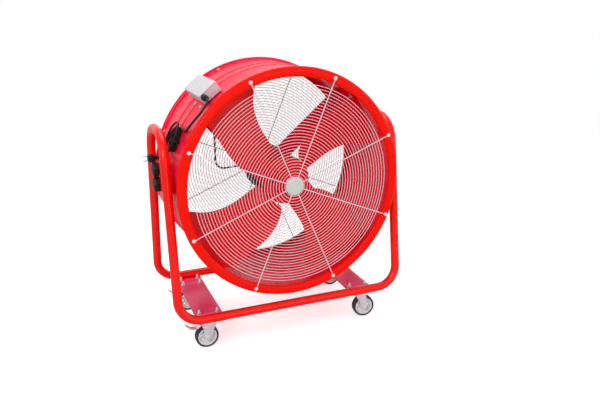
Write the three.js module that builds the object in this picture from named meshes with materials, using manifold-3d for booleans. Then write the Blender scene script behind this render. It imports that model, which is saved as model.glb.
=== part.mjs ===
import * as THREE from "three";
import { mergeVertices } from "three/addons/utils/BufferGeometryUtils.js";
import Module from "manifold-3d";

// Millimetres. +Z is up, the floor is Z = 0, and the air leaves towards -Y.
const clearance = 0.3;
const axisHeight = 699;

// Cradle: one bent tube on each side, from the middle of the front bar to the middle of the rear bar.
const tubeRadius = 19;
const tubeBore = 17;
const cradleHalfWidth = 512;
const barHalfSpacing = 244;
const barHeight = 159;
const archHeight = 928;
const uprightLean = 0.1307;
const lowerBend = 95;
const upperBend = 120;
const basePlateLength = 488;
const basePlateWidth = 120;
const basePlateTop = 139.7;
const basePlateThickness = 4;

// Castors.
const swivelLeft = -370;
const swivelRight = 352;
const swivelSpacing = 187;
const wheelTrail = 18;
const wheelRadius = 51;
const wheelSides = 16;
const rimRadius = 41;
const forkInside = 19.5;
const boltAcross = 40;
const boltAlong = 28;

// Drum and its rolled inlet and outlet edges.
const shellRadius = 478;
const shellInside = 475.5;
const edgeRadius = 490;
const frontEdge = -258;
const rearEdge = 226;
const shellSides = 36;
const ribHeight = 3;
const frontRib = -35;
const rearRib = 45;

// Guards.
const frontRings = 14;
const rearRings = 8;
const lastRing = 444;
const ringWire = 2;
const spokeCount = 8;

// Tilt pivot.
const plateInside = 509.5;
const plateOutside = 514.5;
const domeRadius = 97;
const slotRadius = 66;
const tiltRange = Math.PI / 4;

// Motor bracket and fan.
const armAngle = 40.7;
const bladeCount = 4;
const bladeTip = 460;
const bladeRoot = 106;
const bladeMiddle = -152;
const bladeThickness = 3.2;
const bladeRows = 9;
const shaftRadius = 12;

// Supply cord.
const cordRadius = 4.5;
const hankAngle = -66.5;
const hankMiddle = -58;
const hankBase = 485.8;
const foldLeast = 27;
const foldPitch = 9.9;
const layerPitch = 9.7;
const hankRun = 6;

const wasm = await Module();
wasm.setup();

// A geometry as one solid with its faces pointing out.
function solid(geometry) {
  const bare = new THREE.BufferGeometry();
  bare.setAttribute("position", geometry.getAttribute("position"));
  if (geometry.index) bare.setIndex(geometry.index);
  const welded = mergeVertices(bare, 1e-3);
  const source = welded.index.array;
  const outward = [];
  const inward = [];
  for (let i = 0; i < source.length; i += 3) {
    const a = source[i];
    const b = source[i + 1];
    const c = source[i + 2];
    if (a === b || b === c || c === a) continue;
    outward.push(a, b, c);
    inward.push(a, c, b);
  }
  const vertProperties = welded.getAttribute("position").array;
  const shape = (corners) =>
    new wasm.Manifold(
      new wasm.Mesh({ numProp: 3, vertProperties, triVerts: new Uint32Array(corners) }),
    );
  const made = shape(outward);
  return made.volume() > 0 ? made : shape(inward);
}

const join = (...solids) => solids.reduce((a, b) => a.add(b));
const cut = (body, ...tools) => tools.reduce((a, b) => a.subtract(b), body);

function geometryOf(body) {
  const mesh = body.getMesh();
  const geometry = new THREE.BufferGeometry();
  const positions = new Float32Array(mesh.vertProperties);
  geometry.setAttribute("position", new THREE.BufferAttribute(positions, mesh.numProp));
  geometry.setIndex(new THREE.BufferAttribute(new Uint32Array(mesh.triVerts), 1));
  return geometry;
}

const point = (x, y, z) => new THREE.Vector3(x, y, z);
const outline = (corners) => new THREE.Shape(corners.map(([u, v]) => new THREE.Vector2(u, v)));
const range = (count) => Array.from({ length: count }, (_, index) => index);
const radians = (degrees) => (degrees * Math.PI) / 180;

function circle(u, v, radius, sides) {
  const path = new THREE.Path();
  range(sides).forEach((i) => {
    const angle = ((i + 0.5) / sides) * 2 * Math.PI;
    const place = [u + radius * Math.cos(angle), v + radius * Math.sin(angle)];
    if (i === 0) path.moveTo(...place);
    else path.lineTo(...place);
  });
  path.closePath();
  return path;
}

// Sheets cut to an outline, by the axis that is square to them. Outline axes are XY, XZ and YZ.
function slab(shape, from, to) {
  return new THREE.ExtrudeGeometry(shape, { depth: Math.abs(to - from), bevelEnabled: false });
}

function slabZ(shape, from, to) {
  return slab(shape, from, to).translate(0, 0, Math.min(from, to));
}

function slabY(shape, from, to) {
  const turn = new THREE.Matrix4().makeBasis(point(1, 0, 0), point(0, 0, 1), point(0, -1, 0));
  return slab(shape, from, to).applyMatrix4(turn).translate(0, Math.max(from, to), 0);
}

function slabX(shape, from, to) {
  const turn = new THREE.Matrix4().makeBasis(point(0, 1, 0), point(0, 0, 1), point(1, 0, 0));
  return slab(shape, from, to).applyMatrix4(turn).translate(Math.min(from, to), 0, 0);
}

function box(x0, x1, y0, y1, z0, z1) {
  const size = [x1 - x0, y1 - y0, z1 - z0].map(Math.abs);
  const middle = [(x0 + x1) / 2, (y0 + y1) / 2, (z0 + z1) / 2];
  return new THREE.BoxGeometry(...size).translate(...middle);
}

function rod(axis, radius, from, to, sides = 16) {
  const length = Math.abs(to - from);
  const geometry = new THREE.CylinderGeometry(radius, radius, length, sides);
  const middle = (from + to) / 2;
  if (axis === "x") return geometry.rotateZ(Math.PI / 2).translate(middle, 0, 0);
  if (axis === "z") return geometry.rotateX(Math.PI / 2).translate(0, 0, middle);
  return geometry.translate(0, middle, 0);
}

// A profile of radius and Y turned about the Y axis. It closes on itself.
function turned(profile, sides) {
  const points = profile.map(([radius, y]) => new THREE.Vector2(radius, y));
  if (profile[0][0] > 0) points.push(points[0].clone());
  return new THREE.LatheGeometry(points, sides);
}

// A path of straights and round bends, with a station only where the direction changes.
class Route extends THREE.Curve {
  constructor(places, directions) {
    super();
    this.places = places;
    this.directions = directions;
  }
  getPointAt(u, target = new THREE.Vector3()) {
    return target.copy(this.places[Math.round(u * (this.places.length - 1))]);
  }
  getTangentAt(u, target = new THREE.Vector3()) {
    return target.copy(this.directions[Math.round(u * (this.places.length - 1))]);
  }
}

function bentPath(corners, radii, steps, stride = Infinity, place = (p) => p) {
  const stations = [[corners[0], corners[1].clone().sub(corners[0]).normalize()]];
  for (let i = 1; i < corners.length - 1; i += 1) {
    const before = corners[i].clone().sub(corners[i - 1]).normalize();
    const after = corners[i + 1].clone().sub(corners[i]).normalize();
    const turn = Math.acos(before.dot(after));
    const reach = radii[i - 1] * Math.tan(turn / 2);
    const inwards = after.clone().addScaledVector(before, -before.dot(after)).normalize();
    const start = corners[i].clone().addScaledVector(before, -reach);
    const middle = start.clone().addScaledVector(inwards, radii[i - 1]);
    for (let k = 0; k <= steps; k += 1) {
      const angle = (turn * k) / steps;
      const spot = middle
        .clone()
        .addScaledVector(inwards, -radii[i - 1] * Math.cos(angle))
        .addScaledVector(before, radii[i - 1] * Math.sin(angle));
      const heading = before
        .clone()
        .multiplyScalar(Math.cos(angle))
        .addScaledVector(inwards, Math.sin(angle));
      stations.push([spot, heading]);
    }
  }
  const last = corners[corners.length - 1];
  stations.push([last, last.clone().sub(corners[corners.length - 2]).normalize()]);
  const filled = [stations[0]];
  stations.slice(1).forEach(([spot, heading], i) => {
    const [from, direction] = stations[i];
    const parts = Math.ceil(from.distanceTo(spot) / stride) || 1;
    range(parts - 1).forEach((k) => {
      filled.push([from.clone().lerp(spot, (k + 1) / parts), direction]);
    });
    filled.push([spot, heading]);
  });
  let travelled = 0;
  const along = filled.map(([spot], i) => {
    if (i > 0) travelled += spot.distanceTo(filled[i - 1][0]);
    return travelled;
  });
  const mapped = (spot, distance) => place(spot, distance / travelled);
  const places = filled.map(([spot], i) => mapped(spot, along[i]));
  const directions = filled.map(([spot, heading], i) => {
    const ahead = mapped(spot.clone().addScaledVector(heading, 0.1), along[i] + 0.1);
    const behind = mapped(spot.clone().addScaledVector(heading, -0.1), along[i] - 0.1);
    return ahead.sub(behind).normalize();
  });
  return new Route(places, directions);
}

function along(route, radius, sides, bore) {
  const section = new THREE.Shape(circle(0, 0, radius, sides).getPoints());
  if (bore) section.holes.push(circle(0, 0, bore, 6));
  const steps = route.places.length - 1;
  return new THREE.ExtrudeGeometry(section, { steps, extrudePath: route, bevelEnabled: false });
}

// Paint, metal and plastic.
function finish(color, roughness, metalness) {
  return new THREE.MeshStandardMaterial({ color, roughness, metalness });
}
const redPaint = finish(0xdc1c12, 0.3, 0);
const guardPaint = finish(0xf3e6e4, 0.4, 0);
const zinc = finish(0xb9bcbf, 0.35, 0.9);
const rimPlastic = finish(0xe4e4e2, 0.5, 0);
const tyreRubber = finish(0x3d4552, 0.8, 0);
const blackPlastic = finish(0x17181a, 0.45, 0);
const motorPaint = finish(0x1d1e21, 0.5, 0.2);
const boxPlastic = finish(0xdcdcda, 0.5, 0);
const cordRubber = finish(0x121315, 0.7, 0);

const fanUnit = new THREE.Group();
fanUnit.name = "drum_fan";
const drum = new THREE.Group();
drum.name = "tilting_drum";
drum.position.set(0, 0, axisHeight);
const fan = new THREE.Group();
fan.name = "fan_assembly";
drum.add(fan);
fanUnit.add(drum);

function part(name, body, material, parent) {
  const geometry = body.isBufferGeometry ? geometryOf(solid(body)) : geometryOf(body);
  geometry.computeVertexNormals();
  const mesh = new THREE.Mesh(geometry, material);
  mesh.name = name;
  parent.add(mesh);
  return mesh;
}

const uprightAt = (z) => barHalfSpacing - (z - barHeight) * uprightLean;
const sides = [
  ["left", -1, swivelLeft],
  ["right", 1, swivelRight],
];

// Cradle.
function cradleTube(side) {
  const top = uprightAt(archHeight);
  const corners = [
    point(side * 0.2, -barHalfSpacing, barHeight),
    point(side * cradleHalfWidth, -barHalfSpacing, barHeight),
    point(side * cradleHalfWidth, -top, archHeight),
    point(side * cradleHalfWidth, top, archHeight),
    point(side * cradleHalfWidth, barHalfSpacing, barHeight),
    point(side * 0.2, barHalfSpacing, barHeight),
  ];
  const route = bentPath(corners, [lowerBend, upperBend, upperBend, lowerBend], 5);
  return along(route, tubeRadius, 10, tubeBore);
}

const castorBolts = [-1, 1].flatMap((a) => [-1, 1].map((b) => [a * boltAcross, b * boltAlong]));

function basePlate(swivelX) {
  const halfWidth = basePlateWidth / 2;
  const halfLength = basePlateLength / 2;
  const shape = outline([
    [swivelX - halfWidth, -halfLength],
    [swivelX + halfWidth, -halfLength],
    [swivelX + halfWidth, halfLength],
    [swivelX - halfWidth, halfLength],
  ]);
  [-1, 1].forEach((end) =>
    castorBolts.forEach(([x, y]) => {
      shape.holes.push(circle(swivelX + x, end * swivelSpacing + y, 5.4, 8));
    }),
  );
  return slabZ(shape, basePlateTop - basePlateThickness, basePlateTop);
}

// The pivot plate fills the cradle between the uprights and carries the tilt slot.
function pivotPlate(side) {
  const bottom = -62;
  const shoulder = 40;
  const edge = (z) => uprightAt(z + axisHeight) - tubeRadius * 1.009 - clearance;
  const domeStart = Math.asin(shoulder / domeRadius);
  const domeSteps = 8;
  const dome = range(domeSteps + 1).map((i) => {
    const angle = domeStart + ((Math.PI - 2 * domeStart) * i) / domeSteps;
    return [domeRadius * Math.cos(angle), domeRadius * Math.sin(angle)];
  });
  const shape = outline([
    [-edge(bottom), bottom],
    [edge(bottom), bottom],
    [edge(shoulder), shoulder],
    ...dome,
    [-edge(shoulder), shoulder],
  ]);
  const slotHalf = 6.2;
  const arcPoints = (radius, from, to) =>
    range(7).map((i) => {
      const angle = Math.PI / 2 + from + ((to - from) * i) / 6;
      return [radius * Math.cos(angle), radius * Math.sin(angle)];
    });
  const slotEnd = (angle, start) =>
    range(3).map((i) => {
      const around = angle + Math.PI / 2 + start + ((i + 1) / 4) * Math.PI;
      return [
        slotRadius * Math.cos(angle + Math.PI / 2) + slotHalf * Math.cos(around),
        slotRadius * Math.sin(angle + Math.PI / 2) + slotHalf * Math.sin(around),
      ];
    });
  const slot = outline([
    ...arcPoints(slotRadius + slotHalf, -tiltRange, tiltRange),
    ...slotEnd(tiltRange, 0),
    ...arcPoints(slotRadius - slotHalf, tiltRange, -tiltRange),
    ...slotEnd(-tiltRange, Math.PI),
  ]);
  shape.holes.push(slot, circle(0, 0, 8.5, 12));
  return slabX(shape, side * plateInside, side * plateOutside).translate(0, 0, axisHeight);
}

sides.forEach(([name, side, swivelX]) => {
  part(`cradle_tube_${name}`, cradleTube(side), redPaint, fanUnit);
  part(`base_plate_${name}`, basePlate(swivelX), redPaint, fanUnit);
  part(`pivot_plate_${name}`, pivotPlate(side), redPaint, fanUnit);
});

// Castors, drawn about their swivel axis with the wheel trailing towards -X.
const plateTop = basePlateTop - basePlateThickness - clearance;

function castorPlate() {
  const pieces = [
    solid(box(-50, 50, -39, 39, plateTop - 3.5, plateTop)),
    solid(rod("z", 30, 126.3, plateTop - 3, 14)),
    solid(rod("z", 6, 114, 128, 8)),
    solid(rod("z", 9.5, 113.8, 116.8, 8)),
  ];
  castorBolts.forEach(([x, y]) => {
    pieces.push(solid(rod("z", 4.7, plateTop - 1, 160, 6).translate(x, y, 0)));
    pieces.push(solid(rod("z", 8.8, basePlateTop + clearance, 148, 6).translate(x, y, 0)));
  });
  return join(...pieces);
}

function forkLeg(braked) {
  const foot = range(5).map((i) => {
    const angle = Math.PI + (Math.PI * i) / 4;
    return [14 * Math.cos(angle) - wheelTrail, wheelRadius + 14 * Math.sin(angle)];
  });
  const ear = [
    [-26, 121],
    [-39, 112],
    [-40, 103],
    [-34, 94],
  ];
  const shape = outline([...(braked ? ear : [[-24, 121]]), ...foot, [14, 92], [22, 108], [22, 121]]);
  shape.holes.push(circle(-wheelTrail, wheelRadius, 4.6, 8));
  if (braked) shape.holes.push(circle(-32, 107, 4.4, 6));
  return shape;
}

function castorFork(braked) {
  const leg = forkLeg(braked);
  const body = join(
    solid(slabY(leg, forkInside, forkInside + 3)),
    solid(slabY(leg, -forkInside, -forkInside - 3)),
    solid(box(-24, 22, -forkInside - 3, forkInside + 3, 117.1, 121)),
    solid(rod("z", 27, 120.5, 126, 14)),
  );
  return cut(body, solid(rod("z", 6.8, 110, 130, 8)));
}

const rimProfile = [
  [4.4, -forkInside + clearance],
  [10, -forkInside + clearance],
  [12, -3],
  [33, -3],
  [35, -15.5],
  [rimRadius, -15.5],
  [rimRadius, 15.5],
  [35, 15.5],
  [33, 3],
  [12, 3],
  [10, forkInside - clearance],
  [4.4, forkInside - clearance],
];
// The tread has flat sides, and the lowest one lies on the floor.
const treadRadius = wheelRadius / Math.cos(Math.PI / wheelSides);
const tyreProfile = [
  [rimRadius + clearance, -15],
  [47, -17],
  [treadRadius, -10],
  [treadRadius, 10],
  [47, 17],
  [rimRadius + clearance, 15],
];

function castorAxle() {
  return join(
    solid(rod("y", 3.9, -27, 27, 8)),
    solid(rod("y", 7.5, -28.5, -forkInside - 3 - clearance, 6)),
    solid(rod("y", 7.5, forkInside + 3 + clearance, 28.5, 6)),
  );
}

// The brake pedal turns on a pin through the fork and curls up towards the toe.
function brakePedal() {
  const tread = outline([
    [-30, 112],
    [-36, 113],
    [-59, 97],
    [-80, 97.5],
    [-95, 105],
    [-106, 117.5],
    [-110, 114],
    [-98, 101.5],
    [-82, 93.5],
    [-60, 92],
    [-37, 102.5],
    [-30, 102.5],
  ]);
  return join(solid(slabY(tread, -15, 15)), solid(rod("y", 3.8, -25, 25, 6).translate(-32, 0, 107)));
}

const rimBody = turned(rimProfile, wheelSides).rotateY(Math.PI / wheelSides);
const tyreBody = turned(tyreProfile, wheelSides).rotateY(Math.PI / wheelSides);
const corners = [
  ["front_left", swivelLeft, -1, 0],
  ["front_right", swivelRight, -1, 173],
  ["rear_left", swivelLeft, 1, 0],
  ["rear_right", swivelRight, 1, 180],
];
corners.forEach(([name, swivelX, end, heading]) => {
  const castor = new THREE.Group();
  castor.name = `castor_${name}`;
  castor.position.set(swivelX, end * swivelSpacing, 0);
  const swivel = new THREE.Group();
  swivel.name = `swivel_${name}`;
  swivel.rotation.z = radians(heading);
  const wheel = new THREE.Group();
  wheel.name = `wheel_${name}`;
  wheel.position.set(-wheelTrail, 0, wheelRadius);
  fanUnit.add(castor);
  castor.add(swivel);
  swivel.add(wheel);
  const braked = swivelX < 0;
  part(`castor_plate_${name}`, castorPlate(), zinc, castor);
  part(`castor_fork_${name}`, castorFork(braked), zinc, swivel);
  part(`castor_axle_${name}`, castorAxle(), zinc, wheel);
  part(`castor_rim_${name}`, rimBody, rimPlastic, wheel);
  part(`castor_tyre_${name}`, tyreBody, tyreRubber, wheel);
  if (braked) part(`brake_pedal_${name}`, brakePedal(), redPaint, swivel);
});

// Tilt pivot: bracket on the drum, friction washer, bolts and hand knobs.
function arcSlab(inner, outer, from, to, y0, y1, steps = 4) {
  const arc = (radius, a, b) =>
    range(steps + 1).map((i) => {
      const angle = radians(a + ((b - a) * i) / steps);
      return [radius * Math.cos(angle), radius * Math.sin(angle)];
    });
  return slabY(outline([...arc(outer, from, to), ...arc(inner, to, from)]), y0, y1);
}

function pivotBracket(side) {
  const webInside = 502.9;
  const webOutside = 506.9;
  const standing = shellRadius + ribHeight + 0.4;
  const low = -45;
  const high = 90;
  const steps = 4;
  const shellSide = range(steps + 1).map((i) => {
    const z = low + ((high - low) * i) / steps;
    return [side * Math.sqrt(standing * standing - z * z), z];
  });
  const leg = outline([...shellSide, [side * webOutside, high], [side * webOutside, low]]);
  const degreesAt = (height) => {
    const angle = Math.asin(height / standing) * (180 / Math.PI);
    return side > 0 ? angle : 180 - angle;
  };
  const from = Math.min(degreesAt(low), degreesAt(high));
  const to = Math.max(degreesAt(low), degreesAt(high));
  const foot = (y0, y1) => solid(arcSlab(standing, standing + 4, from, to, y0, y1));
  const web = outline([
    [-28, low],
    [32, low],
    [32, high],
    [-28, high],
  ]);
  web.holes.push(circle(0, 0, 8.3, 12), circle(0, slotRadius, 5.8, 8));
  return join(
    solid(slabX(web, side * webInside, side * webOutside)),
    solid(slabY(leg, -28, -24)),
    solid(slabY(leg, 28, 32)),
    foot(-56, -24),
    foot(28, 62),
  );
}

function handKnob(side, radius, boltHole) {
  const lobes = 6;
  const shape = outline(
    range(18).map((i) => {
      const angle = (i / 18) * 2 * Math.PI;
      const reach = radius - 2 + 2 * Math.cos(lobes * angle);
      return [reach * Math.cos(angle), reach * Math.sin(angle)];
    }),
  );
  const bevel = { bevelEnabled: true, bevelThickness: 4, bevelSize: 4, bevelOffset: -4, bevelSegments: 1 };
  const start = plateOutside + clearance;
  const geometry = new THREE.ExtrudeGeometry(shape, { depth: 18.2, ...bevel });
  const turn = new THREE.Matrix4().makeBasis(point(0, 1, 0), point(0, 0, 1), point(1, 0, 0));
  geometry.applyMatrix4(turn).translate(side > 0 ? start + 4 : -start - 22.2, 0, 0);
  return cut(solid(geometry), solid(rod("x", boltHole, side * (start - 1), side * 530.3, 12)));
}

function pivotBolt(side, radius, head) {
  return join(
    solid(rod("x", radius, side * 501, side * 530, 12)),
    solid(rod("x", head, side * 494.5, side * 502.6, 6)),
  );
}

sides.forEach(([name, side]) => {
  const washer = new THREE.Shape(circle(0, 0, 40, 20).getPoints());
  washer.holes.push(circle(0, 0, 8.4, 12));
  const lockHeight = [0, 0, slotRadius];
  part(`pivot_bracket_${name}`, pivotBracket(side), redPaint, drum);
  part(`friction_washer_${name}`, slabX(washer, side * 507.2, side * 509.2), blackPlastic, drum);
  part(`pivot_bolt_${name}`, pivotBolt(side, 8, 14), zinc, drum);
  part(`lock_bolt_${name}`, pivotBolt(side, 5, 9), zinc, drum).position.set(...lockHeight);
  part(`pivot_knob_${name}`, handKnob(side, 34, 8.3), blackPlastic, drum);
  part(`lock_knob_${name}`, handKnob(side, 31, 5.3), blackPlastic, drum).position.set(...lockHeight);
});

// Drum shell: a rolled sheet with two belt ribs, and a rolled ring turned in at each end.
const rib = (middle) => [
  [shellRadius, middle - 7],
  [shellRadius + ribHeight, middle - 3],
  [shellRadius + ribHeight, middle + 3],
  [shellRadius, middle + 7],
];
const shellProfile = [
  [449.5, frontEdge + 6],
  [458, frontEdge + 1.5],
  [470, frontEdge],
  [482, frontEdge + 2.5],
  [edgeRadius, frontEdge + 10],
  [488, frontEdge + 18.5],
  [shellRadius, frontEdge + 31.5],
  ...rib(frontRib),
  ...rib(rearRib),
  [shellRadius, rearEdge - 19],
  [487, rearEdge - 14],
  [edgeRadius, rearEdge - 7],
  [484, rearEdge - 0.5],
  [468, rearEdge - 0.5],
  [453, rearEdge - 12],
  [455.2, rearEdge - 13.6],
  [469, rearEdge - 3.2],
  [482.6, rearEdge - 3],
  [487.4, rearEdge - 7.4],
  [485.4, rearEdge - 12],
  [shellInside, rearEdge - 16.5],
  [shellInside, frontEdge + 30],
  [485.3, frontEdge + 18],
  [487, frontEdge + 11],
  [480.5, frontEdge + 4.9],
  [470, frontEdge + 2.7],
  [459, frontEdge + 4.2],
  [450.8, frontEdge + 15.5],
  [448, frontEdge + 15.5],
];
part("drum_shell", turned(shellProfile, shellSides), redPaint, drum);

// Wire guards: concentric wires and eight spokes in one plane, screwed down through round pads.
const spokeAngle = (index) => radians((360 / spokeCount) * (index + 0.5));

function polar(radius, angle) {
  return [radius * Math.cos(angle), radius * Math.sin(angle)];
}

function wireGrille(ringCount, hubRadius, spokeEnd, padRadius) {
  const half = 2.5;
  const pitch = (lastRing - hubRadius) / ringCount;
  const halfStep = Math.PI / spokeCount;
  const beside = (radius, index, side) =>
    polar(radius, spokeAngle(index) + side * Math.asin(half / radius));
  const rim = lastRing + ringWire;
  const outer = range(spokeCount).flatMap((i) => {
    const [x, y] = polar(spokeEnd, spokeAngle(i));
    const pad = range(6).map((k) => {
      const [u, v] = polar(padRadius, spokeAngle(i) - 2.35 + (4.7 * k) / 5);
      return [x + u, y + v];
    });
    return [beside(rim, i, -1), ...pad, beside(rim, i, 1), polar(rim, spokeAngle(i) + halfStep)];
  });
  const shape = outline(outer);
  range(ringCount).forEach((i) => {
    const inner = hubRadius + pitch * i + (i > 0 ? ringWire : 0);
    const reach = hubRadius + pitch * (i + 1) - ringWire;
    range(spokeCount).forEach((k) => {
      const hole = [
        beside(inner, k, 1),
        beside(reach, k, 1),
        polar(reach, spokeAngle(k) + halfStep),
        beside(reach, k + 1, -1),
        beside(inner, k + 1, -1),
        polar(inner, spokeAngle(k) + halfStep),
      ];
      shape.holes.push(outline(hole));
    });
  });
  return shape;
}

const frontWire = frontEdge - clearance;
const frontGrille = wireGrille(frontRings, 44, 471, 7);
part("front_guard", slabY(frontGrille, frontWire - 2 * ringWire, frontWire), guardPaint, drum);

const rearWire = 192;
const rearFeet = range(spokeCount).map((i) => {
  const foot = box(468.6, 473, rearWire, rearWire + 18, -6, 6);
  return solid(foot.rotateY(-spokeAngle(i)));
});
const rearGrille = solid(slabY(wireGrille(rearRings, 46, 463, 6.5), rearWire, rearWire + 2 * ringWire));
part("rear_guard", join(rearGrille, ...rearFeet), guardPaint, drum);

const capFace = frontWire - 2 * ringWire - clearance;
const capProfile = [
  [0, capFace],
  [36, capFace],
  [36, capFace - 2],
  [33, capFace - 4],
  [0, capFace - 4.5],
];
part("guard_hub_cap", turned(capProfile, 24), guardPaint, drum);

// Motor on a bracket of four wide arms, each set to one side of the axis, with feet along the shell.
function motorBracket() {
  const face = [-20.6, -15.6];
  const footInside = 468.2;
  const footOutside = 473.2;
  const nearSide = 8;
  const farSide = 83;
  const ends = range(4).map((i) => {
    const across = nearSide + ((farSide - nearSide) * i) / 3;
    return [Math.sqrt((footInside + 2) ** 2 - across ** 2), across];
  });
  const arm = solid(slabY(outline([[20, nearSide], ...ends, [0, farSide]]), ...face));
  const offAxis = (across) => Math.asin(across / footOutside) * (180 / Math.PI);
  const feet = arcSlab(footInside, footOutside, offAxis(nearSide), offAxis(farSide), -115, -6, 3);
  const limb = join(arm, solid(feet));
  const turns = range(4).map((i) => limb.rotate([0, -armAngle - 90 * i, 0]));
  const hub = solid(rod("y", 85, ...face, 16));
  return cut(join(hub, ...turns), solid(rod("y", 30, -30, -10, 12)));
}
part("motor_bracket", motorBracket(), redPaint, drum);

const motorProfile = [
  [0, 20],
  [shaftRadius + clearance, 20],
  [shaftRadius + clearance, -15.2],
  [60, -15.2],
  [98, -10],
  [105, -2],
  [105, 108],
  [99, 118],
  [62, 128],
  [0, 131],
];
part(
  "motor_body",
  join(solid(turned(motorProfile, 20)), solid(box(-145, -90, 12, 58, 14, 60))),
  motorPaint,
  drum,
);

part("motor_shaft", rod("y", shaftRadius, -184, 19.5, 12), zinc, fan);

// Blades: swept paddles, pitched and hollowed towards the outlet.
const rightEdge = (radius) =>
  112.5 - (radius < 255 ? 9.5 * ((255 - radius) / 135) ** 2 : 8 * ((radius - 255) / 170) ** 2);
const leftEdge = (radius) =>
  radius < 140
    ? 162.8 - 6 * ((140 - radius) / 34) ** 2
    : 162.8 - 20.5 * THREE.MathUtils.smoothstep(radius, 140, 440);

function bladePoint(v, t) {
  const radius = bladeRoot + (bladeTip - bladeRoot) * Math.sin((v * Math.PI) / 2);
  const corner = 52;
  const past = Math.max(0, radius - (bladeTip - corner));
  const inset = ((corner - Math.sqrt(corner * corner - past * past)) / radius) * (180 / Math.PI);
  const from = rightEdge(radius) + inset;
  const to = leftEdge(radius) - inset;
  const angle = radians(from + (to - from) * t);
  const share = (radius - bladeRoot) / (bladeTip - bladeRoot);
  const full = (angle - radians(rightEdge(radius))) / radians(leftEdge(radius) - rightEdge(radius));
  const camber = (4 + 10 * share) * (1 - (2 * full - 1) ** 2);
  const y = bladeMiddle + (96 + 16 * share) * (0.5 - full) + camber;
  return point(radius * Math.cos(angle), y, radius * Math.sin(angle));
}

// A closed sheet between two grids of points.
function sheet(rows, columns, front, back) {
  const places = [];
  const faces = [];
  const at = (layer, i, j) => layer * (rows + 1) * (columns + 1) + i * (columns + 1) + j;
  [front, back].forEach((surface) =>
    range(rows + 1).forEach((i) =>
      range(columns + 1).forEach((j) => places.push(...surface(i / rows, j / columns).toArray())),
    ),
  );
  const quad = (a, b, c, d) => faces.push(a, b, c, a, c, d);
  range(rows).forEach((i) =>
    range(columns).forEach((j) => {
      quad(at(0, i, j), at(0, i, j + 1), at(0, i + 1, j + 1), at(0, i + 1, j));
      quad(at(1, i, j), at(1, i + 1, j), at(1, i + 1, j + 1), at(1, i, j + 1));
    }),
  );
  range(rows).forEach((i) => {
    quad(at(0, i, 0), at(0, i + 1, 0), at(1, i + 1, 0), at(1, i, 0));
    quad(at(0, i + 1, columns), at(0, i, columns), at(1, i, columns), at(1, i + 1, columns));
  });
  range(columns).forEach((j) => {
    quad(at(0, 0, j + 1), at(0, 0, j), at(1, 0, j), at(1, 0, j + 1));
    quad(at(0, rows, j), at(0, rows, j + 1), at(1, rows, j + 1), at(1, rows, j));
  });
  const geometry = new THREE.BufferGeometry();
  geometry.setAttribute("position", new THREE.Float32BufferAttribute(places, 3));
  geometry.setIndex(faces);
  return geometry;
}

const behind = (distance) => (v, t) => bladePoint(v, t).add(point(0, distance, 0));
const bladeBody = sheet(bladeRows, 5, bladePoint, behind(bladeThickness));
range(bladeCount).forEach((i) => {
  const blade = bladeBody.clone().rotateY(-radians(90 * i));
  part(`fan_blade_${i + 1}`, blade, redPaint, fan);
});

// The hub carries one arm behind each blade, stepped along it as the blade is.
function fanHub() {
  const station = (v) => (v === 0 ? -0.05 : (4 * v - 1) / bladeRows);
  const inner = (distance) => (v, t) => behind(distance)(station(v), 0.41 + 0.18 * t);
  const arm = sheet(4, 1, inner(bladeThickness + 0.6), inner(bladeThickness + 5.6));
  const arms = range(bladeCount).map((i) => solid(arm.clone().rotateY(-radians(90 * i))));
  const disc = solid(rod("y", bladeRoot - 1.5, bladeMiddle - 8, bladeMiddle + 14, 20));
  const boss = solid(rod("y", 28, bladeMiddle - 26, bladeMiddle + 16, 10));
  const bore = solid(rod("y", shaftRadius + clearance, -184.3, -100, 12));
  return cut(join(disc, boss, ...arms), bore);
}
part("fan_hub", fanHub(), redPaint, fan);

// Connection box on the upper left of the shell.
const boxAngle = radians(-39);
const boxFront = -160;
const boxRear = 96;
const boxHalf = 44;
function connectionBox() {
  const standing = shellRadius + ribHeight + 0.4;
  const floor = range(9).map((i) => {
    const x = -boxHalf + (2 * boxHalf * i) / 8;
    return [x, Math.sqrt(standing * standing - x * x)];
  });
  const loop = [...floor, [boxHalf, 520.5], [-boxHalf, 520.5]];
  const body = solid(slabY(outline(loop), boxFront, boxRear));
  const inside = boxHalf - 3;
  const hollow = solid(box(-inside, inside, boxFront + 3, boxRear - 3, 487, 530));
  return geometryOf(cut(body, hollow)).rotateY(boxAngle);
}

function boxLid() {
  const side = boxHalf + 2;
  const slab = box(-side, side, boxFront - 2, boxRear + 2, 520.8, 523.5);
  const crown = box(-side, side, boxFront - 2, boxRear + 2, 523, 527.5);
  const places = crown.getAttribute("position");
  range(places.count).forEach((i) => {
    if (places.getZ(i) < 525) return;
    const middle = (boxFront + boxRear) / 2;
    places.setX(i, places.getX(i) * 0.93);
    places.setY(i, middle + (places.getY(i) - middle) * 0.97);
  });
  return geometryOf(join(solid(slab), solid(crown))).rotateY(boxAngle);
}
part("junction_box", connectionBox(), boxPlastic, drum);
part("junction_box_lid", boxLid(), boxPlastic, drum);

// A place on the drum, given by the angle from the top, the radius and Y.
function onDrum(angle, radius, y) {
  return point(radius * Math.sin(radians(angle)), y, radius * Math.cos(radians(angle)));
}

const glandAngle = -42.4;
const glandRadius = 507;
const glandEnd = -191;
const glandProfile = [
  [0, boxFront - 2.3],
  [13.5, boxFront - 2.3],
  [13.5, boxFront - 8],
  [11, boxFront - 9],
  [11, boxFront - 16],
  [12.5, boxFront - 18],
  [12.5, glandEnd + 5],
  [8, glandEnd],
  [0, glandEnd],
];
const glandPlace = onDrum(glandAngle, glandRadius, 0);
part("cable_gland", turned(glandProfile, 12), blackPlastic, drum).position.copy(glandPlace);

const motorLead = bentPath(
  [
    point(-145.3, 30, 36),
    point(-260, 30, 29),
    point(-258, 30, 330.4),
    onDrum(-38, 473.4, 30),
  ],
  [38, 60],
  4,
  40,
);
part("motor_cable", along(motorLead, 4, 6), cordRubber, drum);

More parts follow.
